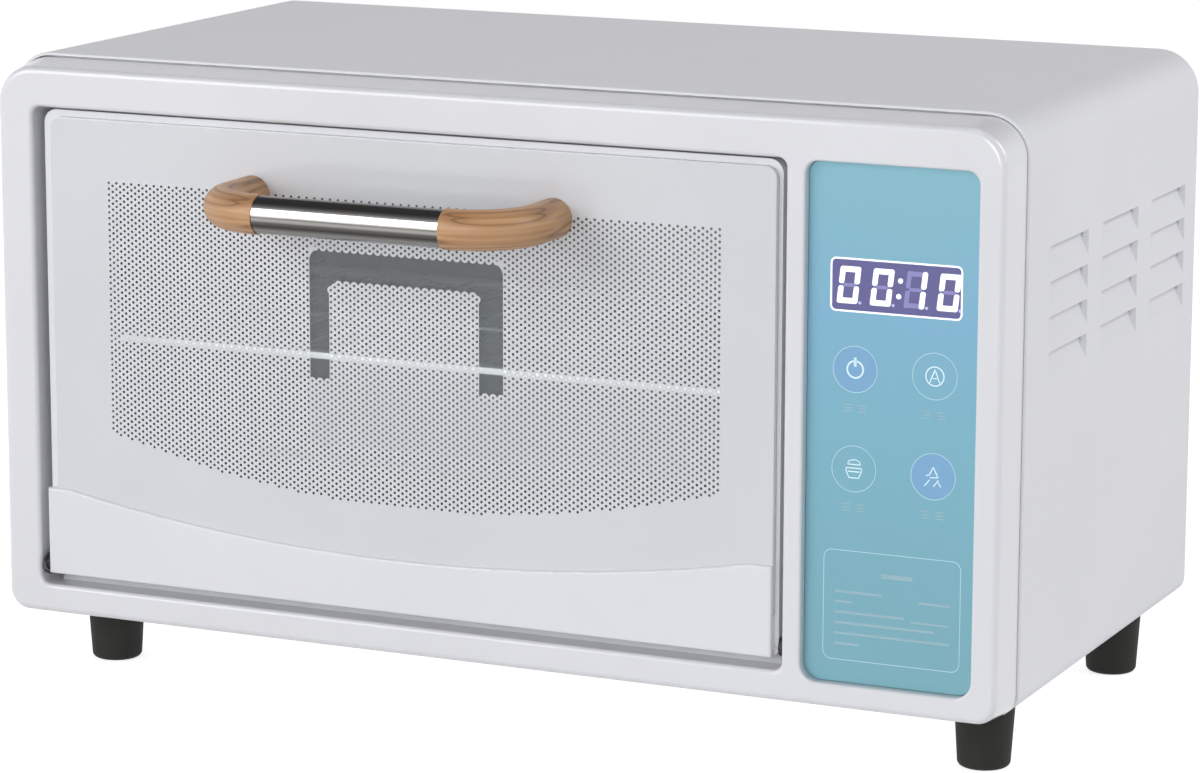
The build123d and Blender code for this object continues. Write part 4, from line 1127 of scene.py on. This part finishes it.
# ---------------------------------------------------------------- display and touch marks
@dataclass(frozen=True)
class PanelMarks:
    """Everything printed or lit on the touch panel's face."""

    centre_x: float = 149.75 * MM
    depth: float = 0.04 * MM
    display_size: Pair = (46.0 * MM, 18.0 * MM)
    display_z: float = 163.2 * MM
    display_corner: float = 2.0 * MM
    display_rim: float = 0.62 * MM
    digit_size: Pair = (7.3 * MM, 12.4 * MM)
    digit_pitch: float = 11.6 * MM
    digit_inset: float = 2.2 * MM
    stroke: float = 1.9 * MM
    unlit_stroke: float = 0.85
    segment_round: float = 0.42
    slant: float = 0.112
    point_radius: float = 0.55 * MM
    point_offset: float = 0.9 * MM
    point_drop: float = 0.46
    colon_radius: float = 0.9 * MM
    colon_rise: float = 2.6 * MM
    colon_offset: float = 1.9 * MM
    small_point: Pair = (14.7 * MM, 0.2 * MM)
    small_radius: float = 0.3 * MM
    key_radius: float = 7.75 * MM
    key_line: float = 0.27 * MM
    key_spacing: Pair = (27.8 * MM, 33.4 * MM)
    key_top_z: float = 135.2 * MM
    icon_line: float = 0.6 * MM
    label_drop: float = 13.0 * MM
    label_offset: float = 2.6 * MM
    label_line: float = 0.42 * MM
    info_size: Pair = (48.4 * MM, 37.6 * MM)
    info_z: float = 55.3 * MM
    info_corner: float = 3.0 * MM
    info_line: float = 0.26 * MM

    @property
    def face_y(self) -> float:
        """Plane of the panel's face."""
        return Box.of("control_panel").low.y

    def _at(self, x: float, z: float, layer: float = 1) -> Vector:
        """Point over the panel's face, in the middle of a numbered thin layer."""
        return Vector((x, self.face_y - (layer - 0.5) * self.depth, z))

    @staticmethod
    def _lay(piece: Piece, material: Material) -> None:
        """Finish a piece that lies on the panel."""
        piece.finish(material, Body.CABINET, "panel_film")

    def _digit_left(self, index: int) -> float:
        """Left end of one of the four digits, counted from the left."""
        return self.centre_x - self.display_size[0] / 2 + self.digit_inset + index * self.digit_pitch

    def _digit(self, piece: Piece, index: int, names: str, thin: bool) -> None:
        """Add some segments of one digit.

        Lit segments lie above unlit ones and level ones above upright ones, so no two faces share
        a plane.

        Args:
            piece: Piece that receives them.
            index: Which of the four digits, from the left.
            names: Letters of the segments, a at the top, then clockwise, g in the middle.
            thin: True for the narrower look of unlit segments.
        """
        width, height = self.digit_size
        left = self._digit_left(index)
        stroke = self.stroke * (self.unlit_stroke if thin else 1.0)
        rise = (height - self.stroke) / 2
        side = (width - self.stroke) / 2
        flat = (width - self.stroke * 0.8, stroke)
        tall = (stroke, height / 2 - self.stroke * 0.18)
        upper, lower = (height - tall[1]) / 2, -(height - tall[1]) / 2
        places = {
            "a": (0.0, rise, *flat), "d": (0.0, -rise, *flat),
            "g": (0.0, 0.0, flat[0] * 0.78, stroke * 0.75),
            "b": (side, upper, *tall), "c": (side, lower, *tall),
            "e": (-side, lower, *tall), "f": (-side, upper, *tall),
        }
        for name in names:
            x, z, wide, high = places[name]
            lean = x + z * self.slant + height * self.slant / 2
            layer = (2 if thin else 3.4) + (0.4 if name in "adg" else 0.0)
            centre = self._at(left + width / 2 + lean, self.display_z + z, layer)
            verts = piece.plate(centre, (wide, self.depth, high), min(wide, high) * self.segment_round, 4)
            shear = Matrix.Shear("XY", 4, (0.0, 0.0))
            shear[0][2] = self.slant
            space = Matrix.Translation(-centre)
            bmesh.ops.transform(piece.mesh, matrix=shear, space=space, verts=verts)

    def _display(self, window: Material, lit: Material, unlit: Material) -> None:
        """Make the dark window, its rim and four leaning digits.

        Args:
            window: Finish of the window.
            lit: Finish of the rim, the lit segments and the colon.
            unlit: Finish of the other segments.
        """
        size = (self.display_size[0], self.depth, self.display_size[1])
        glass = Piece("display_window")
        glass.plate(self._at(self.centre_x, self.display_z), size, self.display_corner)
        self._lay(glass, window)
        rim = Piece("display_rim")
        rim.frame(self._at(self.centre_x, self.display_z, 2), size, self.display_corner, self.display_rim)
        self._lay(rim, lit)
        painted_highlight, faint = Piece("display_digits"), Piece("display_unlit_segments")
        for index, names in enumerate(("abcdef", "abcdef", "bc", "abcdef")):
            self._digit(painted_highlight, index, names, thin=False)
            self._digit(faint, index, "".join(sorted(set("abcdefg") - set(names))), thin=True)
        colon_x = self._digit_left(2) - self.colon_offset
        for rise in (-self.colon_rise, self.colon_rise):
            lean = rise * self.slant + self.digit_size[1] * self.slant / 2
            painted_highlight.disc(self._at(colon_x + lean, self.display_z + rise, 3), self.colon_radius, self.depth)
        self._lay(painted_highlight, lit)
        self._lay(faint, unlit)
        self._points(colon_x)

    def _points(self, colon_x: float) -> None:
        """Make the faint point beside each digit's foot and a smaller one right of the third.

        Args:
            colon_x: X of the colon's leaning line at the digits' feet.
        """
        points = Piece("display_points")
        width, height = self.digit_size
        for index in range(4):
            x = self._digit_left(index) + width + self.point_offset
            foot = self._at(x, self.display_z - height * self.point_drop, 2)
            points.disc(foot, self.point_radius, self.depth)
        across, up = self.small_point
        points.disc(self._at(colon_x + across, self.display_z + up, 2), self.small_radius, self.depth)
        self._lay(points, Mark("point_lilac", (0.56, 0.52, 0.88), 0.1).make())

    def _key_places(self) -> list[Pair]:
        """Middles of the four touch keys, row by row from the top left."""
        across, down = self.key_spacing
        return [(self.centre_x + side * across / 2, self.key_top_z - row * down)
                for row in (0, 1) for side in (-1, 1)]

    def _keys(self, line: Material, fill: Material) -> None:
        """Make the four rings, the two tinted discs and the marks under the keys.

        Args:
            line: Finish of the rings.
            fill: Finish of the discs.
        """
        rings, fills, labels = Piece("touch_rings"), Piece("touch_fills"), Piece("touch_label_marks")
        for index, (x, z) in enumerate(self._key_places()):
            rings.ring(self._at(x, z, 2), self.key_radius, self.key_line, self.depth)
            if index in (0, 3):
                fills.disc(self._at(x, z), self.key_radius, self.depth, 48)
            for side in (-1, 1):
                for rise, length in ((1.1, 3.2), (0.0, 2.4), (-1.1, 3.0)):
                    centre = self._at(x + side * self.label_offset, z - self.label_drop + rise * MM)
                    labels.box(centre, (length * MM, self.depth, self.label_line))
        self._lay(rings, line)
        self._lay(fills, fill)
        self._lay(labels, self._faint)

    def _icons(self, line: Material) -> None:
        """Make the four plain pictograms: power, automatic cycle, dish and heat.

        Args:
            line: Finish of the pictograms.
        """
        piece = Piece("touch_pictograms")
        power, cycle, dish, heat = self._key_places()
        self._power(piece, *power)
        self._cycle(piece, *cycle)
        self._dish(piece, *dish)
        self._heat(piece, *heat)
        self._lay(piece, line)

    def _lines(self, piece: Piece, x: float, z: float, points: Iterable[Pair], width: float,
               closed: bool = False) -> None:
        """Add strokes through points about a key's middle.

        Args:
            piece: Piece that receives them.
            x: X of the key's middle.
            z: Z of the key's middle.
            points: Places across and up from that middle, in millimetres.
            width: Width of the strokes, in metres.
            closed: True to go back to the first point.
        """
        spots = [self._at(x + dx * MM, z + dz * MM, 2) for dx, dz in points]
        if closed:
            spots.append(spots[0])
        for start, end in zip(spots, spots[1:]):
            piece.stroke(start, end, width, self.depth)

    def _power(self, piece: Piece, x: float, z: float) -> None:
        """Ring with a bar through its top."""
        piece.ring(self._at(x, z, 2), 2.8 * MM, self.icon_line, self.depth, 32)
        self._lines(piece, x, z, ((0.0, 3.7), (0.0, 1.2)), 0.9 * MM)

    def _cycle(self, piece: Piece, x: float, z: float) -> None:
        """Ring about a peak."""
        piece.ring(self._at(x, z, 2), 3.15 * MM, 0.45 * MM, self.depth, 32)
        self._lines(piece, x, z, ((-1.7, -2.0), (0.0, 2.2), (1.7, -2.0)), 0.42 * MM)
        self._lines(piece, x, z, ((-0.7, -0.7), (0.7, -0.7)), 0.32 * MM)

    def _dish(self, piece: Piece, x: float, z: float) -> None:
        """Covered dish over a tray."""
        tray = ((-2.7, 0.3), (2.7, 0.3), (2.7, -0.8), (1.7, -3.0), (-1.7, -3.0), (-2.7, -0.8))
        cover = ((-2.1, 1.5), (-1.9, 2.5), (-0.6, 3.0), (0.6, 3.2), (2.0, 2.5), (2.2, 1.5))
        self._lines(piece, x, z, tray, 0.4 * MM, closed=True)
        self._lines(piece, x, z, ((-2.0, -0.9), (2.0, -0.9)), 0.4 * MM)
        self._lines(piece, x, z, cover, 0.4 * MM, closed=True)

    def _heat(self, piece: Piece, x: float, z: float) -> None:
        """Peak over three rays."""
        peak = ((-2.4, 0.2), (-1.4, 0.4), (0.0, 3.2), (1.7, -0.2), (-1.0, -0.4))
        self._lines(piece, x, z, peak, 0.38 * MM)
        for foot in (-2.9, 0.2, 2.6):
            lean = 1.6 if foot < 2 else -1.2
            self._lines(piece, x, z, ((foot + lean, -1.2), (foot, -3.2)), 0.38 * MM)

    def _info(self, line: Material) -> None:
        """Make the framed box low on the panel, with plain bars for its rows.

        Args:
            line: Finish of the frame.
        """
        border = Piece("panel_info_frame")
        size = (self.info_size[0], self.depth, self.info_size[1])
        border.frame(self._at(self.centre_x, self.info_z), size, self.info_corner, self.info_line)
        self._lay(border, line)
        rows = Piece("panel_info_rows")
        left = self.centre_x - self.info_size[0] / 2
        top = self.info_z + self.info_size[1] / 2
        bars = (
            (20.5, 7.6, 11.0, 1.5), (4.2, 14.2, 16.5, 0.8), (33.6, 15.4, 11.4, 0.8),
            (4.2, 17.6, 6.0, 0.8), (4.2, 21.2, 24.5, 0.8), (31.0, 22.2, 13.6, 0.6),
            (4.2, 24.8, 35.0, 0.8), (4.2, 28.4, 40.5, 0.8), (4.2, 32.0, 8.6, 0.8),
        )
        for start, drop, length, height in bars:
            centre = self._at(left + (start + length / 2) * MM, top - drop * MM)
            rows.box(centre, (length * MM, self.depth, height * MM))
        self._lay(rows, self._faint)

    @property
    def _faint(self) -> Material:
        """Print a little lighter than the panel, made once."""
        name = "faint_print"
        return bpy.data.materials.get(name) or Mark(name, (0.33, 0.52, 0.60)).make()

    def build(self) -> None:
        """Make every mark on the panel."""
        lit = Mark("lit_mark", (0.92, 0.95, 0.98), 0.45).make()
        line = Mark("ring_line", (0.50, 0.76, 0.86), 0.04).make()
        self._display(Mark("display_indigo", (0.105, 0.100, 0.310)).make(), lit,
                      Mark("unlit_lilac", (0.29, 0.27, 0.60)).make())
        self._keys(line, Mark("key_blue", (0.200, 0.440, 0.700)).make())
        self._icons(Mark("icon_line", (0.72, 0.90, 0.97), 0.15).make())
        self._info(line)


# ---------------------------------------------------------------- louver lips and painted shade of screw recesses
@dataclass(frozen=True)
class LouverLips:
    """Lips in the louver pockets of the right side, which leave a narrow slot above each.

    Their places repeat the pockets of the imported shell: first_y and top_z are the front end and the
    top of the first pocket, and slope is its floor's lean.
    """

    first_y: float = -44.85 * MM
    top_z: float = 175.0 * MM
    pitch_y: float = 54.0 * MM
    pitch_z: float = 11.85 * MM
    columns: int = 3
    rows: int = 4
    length: float = 39.0 * MM
    end_inset: float = 1.1 * MM
    top_depth: float = 3.2 * MM
    slope: float = 0.4
    slit: float = 2.7 * MM
    slot: float = 0.25 * MM
    sheet: float = 0.3 * MM

    def build(self, material: Material) -> None:
        """Make one lip in each pocket.

        Args:
            material: Finish of the shell.
        """
        lips = Piece("louver_lips")
        face = Box.of("outer_shell").high.x
        drop = (self.slit + self.slot) / 2
        lean = math.atan(self.slope)
        size = (self.sheet, self.length - 2 * self.end_inset, (self.slit - self.slot) / math.cos(lean))
        x = face - self.top_depth + drop * self.slope - self.sheet / 2
        for column in range(self.columns):
            y = self.first_y + self.length / 2 + column * self.pitch_y
            for row in range(self.rows):
                lips.box(Vector((x, y, self.top_z - row * self.pitch_z - drop)), size, -lean)
        lips.finish(material, Body.CABINET, "white_enamel")


@dataclass(frozen=True)
class PaintedRecessShade:
    """Crosses of painted shade on the outside screw heads, where their cross recesses would be dark."""

    arm_length: float = 3.2 * MM
    arm_width: float = 0.7 * MM
    depth: float = 0.04 * MM
    spacing: float = 8 * MM
    flatness: float = 0.01 * MM

    def build(self, material: Material) -> None:
        """Make the crosses of painted shade on the back panel's screws, one on each head.

        Args:
            material: Finish of the painted shade.
        """
        heads = Piece("rear_screw_recess_shade")
        for centre in self._heads("rear_panel_screws"):
            # Painted shade: two thin black bars where the cross recess would lie in shade.
            heads.box(centre, (self.arm_length, self.depth, self.arm_width))
            heads.box(centre, (self.arm_width, self.depth, self.arm_length))
        heads.finish(material, Body.CABINET, "component_black")

    def _heads(self, node: str) -> list[Vector]:
        """Middles of the outer faces of a node's screw heads.

        Args:
            node: CAD node whose screws lie along Y with their heads at the back.

        Returns:
            One point for each screw.
        """
        back = Box.of(node).high.y
        points: list[Vector] = []
        groups: dict[tuple[int, int], list[Vector]] = {}
        for vertex in frame["nodes"][node].data.vertices:
            if back - vertex.co.y < self.flatness:
                key = (round(vertex.co.x / self.spacing), round(vertex.co.z / self.spacing))
                groups.setdefault(key, []).append(vertex.co.copy())
        for near in groups.values():
            middle = sum(near, Vector()) / len(near)
            if not any((middle - other).length < self.spacing for other in points):
                points.append(middle)
        return points


# ---------------------------------------------------------------- studio
@dataclass(frozen=True)
class Lamp:
    """One large soft area lamp aimed at the cabinet's middle."""

    name: str
    azimuth: float
    elevation: float
    power: float
    size: float
    distance: float = 3.0

    def make(self, target: Vector) -> None:
        """Hang the lamp.

        Args:
            target: Point that it is aimed at.
        """
        back = direction(math.radians(self.azimuth), math.radians(self.elevation))
        data = bpy.data.lights.new(self.name, "AREA")
        data.energy, data.shape, data.size = self.power, "SQUARE", self.size
        lamp = bpy.data.objects.new(self.name, data)
        lamp.location = target + back * self.distance
        lamp.rotation_mode = "QUATERNION"
        lamp.rotation_quaternion = back.to_track_quat("Z", "Y")
        bpy.context.scene.collection.objects.link(lamp)


@dataclass(frozen=True)
class Studio:
    """Pale floor, even surroundings, lamps and the camera."""

    floor_radius: float = 9.0
    floor_drop: float = 0.1 * MM
    floor_grey: float = 0.60
    floor_lift: float = 0.76
    aim_height: float = 0.11
    lens: float = 133.29
    camera_place: Point = (0.65457, -1.41220, 0.41737)
    azimuth: float = 24.6
    elevation: float = 11.4
    roll: float = 0.15
    lamps: tuple[Lamp, ...] = (
        Lamp("key_lamp", -38.0, 22.0, 26.5, 1.5),
        Lamp("front_lamp", 5.0, 8.0, 17.0, 1.0),
        Lamp("side_lamp", 107.0, 34.0, 32.0, 1.6),
        Lamp("edge_lamp", 10.0, 62.0, 2.3, 0.30),
    )

    def _camera(self) -> None:
        """Set up the camera."""
        turn, rise, lean = (math.radians(a) for a in (self.azimuth, self.elevation, self.roll))
        back = direction(turn, rise)
        level = Vector((math.cos(turn), math.sin(turn), 0.0))
        upward = back.cross(level)
        right = math.cos(lean) * level + math.sin(lean) * upward
        up = math.cos(lean) * upward - math.sin(lean) * level
        data = bpy.data.cameras.new("front_camera")
        data.lens, data.sensor_width = self.lens, 36.0
        camera = bpy.data.objects.new("front_camera", data)
        turned = Matrix((right, up, back)).transposed().to_4x4()
        camera.matrix_world = Matrix.Translation(self.camera_place) @ turned
        bpy.context.scene.collection.objects.link(camera)
        bpy.context.scene.camera = camera

    def _floor(self) -> None:
        """Lay the floor: matt white that also shows as white where no shadow falls."""
        shader = Shader("pale_floor")
        grey = (self.floor_grey, self.floor_grey, self.floor_grey, 1.0)
        shader.set({"Base Color": grey, "Roughness": 0.9, "Emission Color": (1.0, 1.0, 1.0, 1.0)})
        lift = shader.maths("MULTIPLY", shader.seen(), self.floor_lift)
        shader.feed(lift, "Emission Strength")
        mesh = bmesh.new()
        bmesh.ops.create_circle(mesh, cap_ends=True, segments=96, radius=self.floor_radius,
                                matrix=Matrix.Translation((0.0, 0.0, -self.floor_drop)))
        data = bpy.data.meshes.new("floor")
        mesh.to_mesh(data)
        mesh.free()
        data.materials.append(shader.material)
        floor = bpy.data.objects.new("floor", data)
        bpy.context.scene.collection.objects.link(floor)

    def _world(self) -> None:
        """Even surroundings, brightest low down, with their own brighter look where they are seen."""
        world = bpy.data.worlds.new("surroundings")
        bpy.context.scene.world = world
        sky = Graph(world)
        height = sky.axes(sky.add("ShaderNodeTexCoord").outputs["Generated"])["Z"]
        shown = sky.ramp(height, ((0.24, (1.0, 1.0, 1.0)), (0.62, (0.20, 0.20, 0.205))))
        lighting = ((0.0, (0.95, 0.95, 0.99)), (0.30, (0.74, 0.74, 0.77)), (0.60, (0.14, 0.14, 0.15)))
        mix = sky.add("ShaderNodeMix", data_type="RGBA")
        sky.join(sky.ramp(height, lighting), mix.inputs[MIX_FIRST])
        sky.join(sky.seen(), mix.inputs["Factor"])
        sky.join(shown, mix.inputs[MIX_SECOND])
        sky.join(mix.outputs[MIX_RESULT], sky.nodes["Background"].inputs["Color"])

    def build(self) -> None:
        """Set the stage."""
        self._floor()
        self._world()
        for lamp in self.lamps:
            lamp.make(Vector((0.0, 0.0, self.aim_height)))
        self._camera()
        bpy.context.scene.view_settings.view_transform = "Standard"


def main() -> None:
    """Dress the frame, add the pieces and set the stage."""
    logging.basicConfig(level=logging.INFO, format="%(relativeCreated)d %(message)s")
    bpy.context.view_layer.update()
    finishes = Finishes()
    finishes.dress_frame()
    fired = Skin("fired_print", (0.705, 0.722, 0.748), 0.24, 900.0, 0.004 * MM, 0.05, coat=0.8).make()
    film = SmokedFilm("smoked_film", (0.33, 0.37, 0.37), 0.34).make()
    PanePrint().build(fired, film)
    PanelMarks().build()
    LouverLips().build(finishes.by_slot["white_enamel"])
    PaintedRecessShade().build(finishes.by_slot["component_black"])
    Studio().build()


if __name__ == "__main__":
    main()
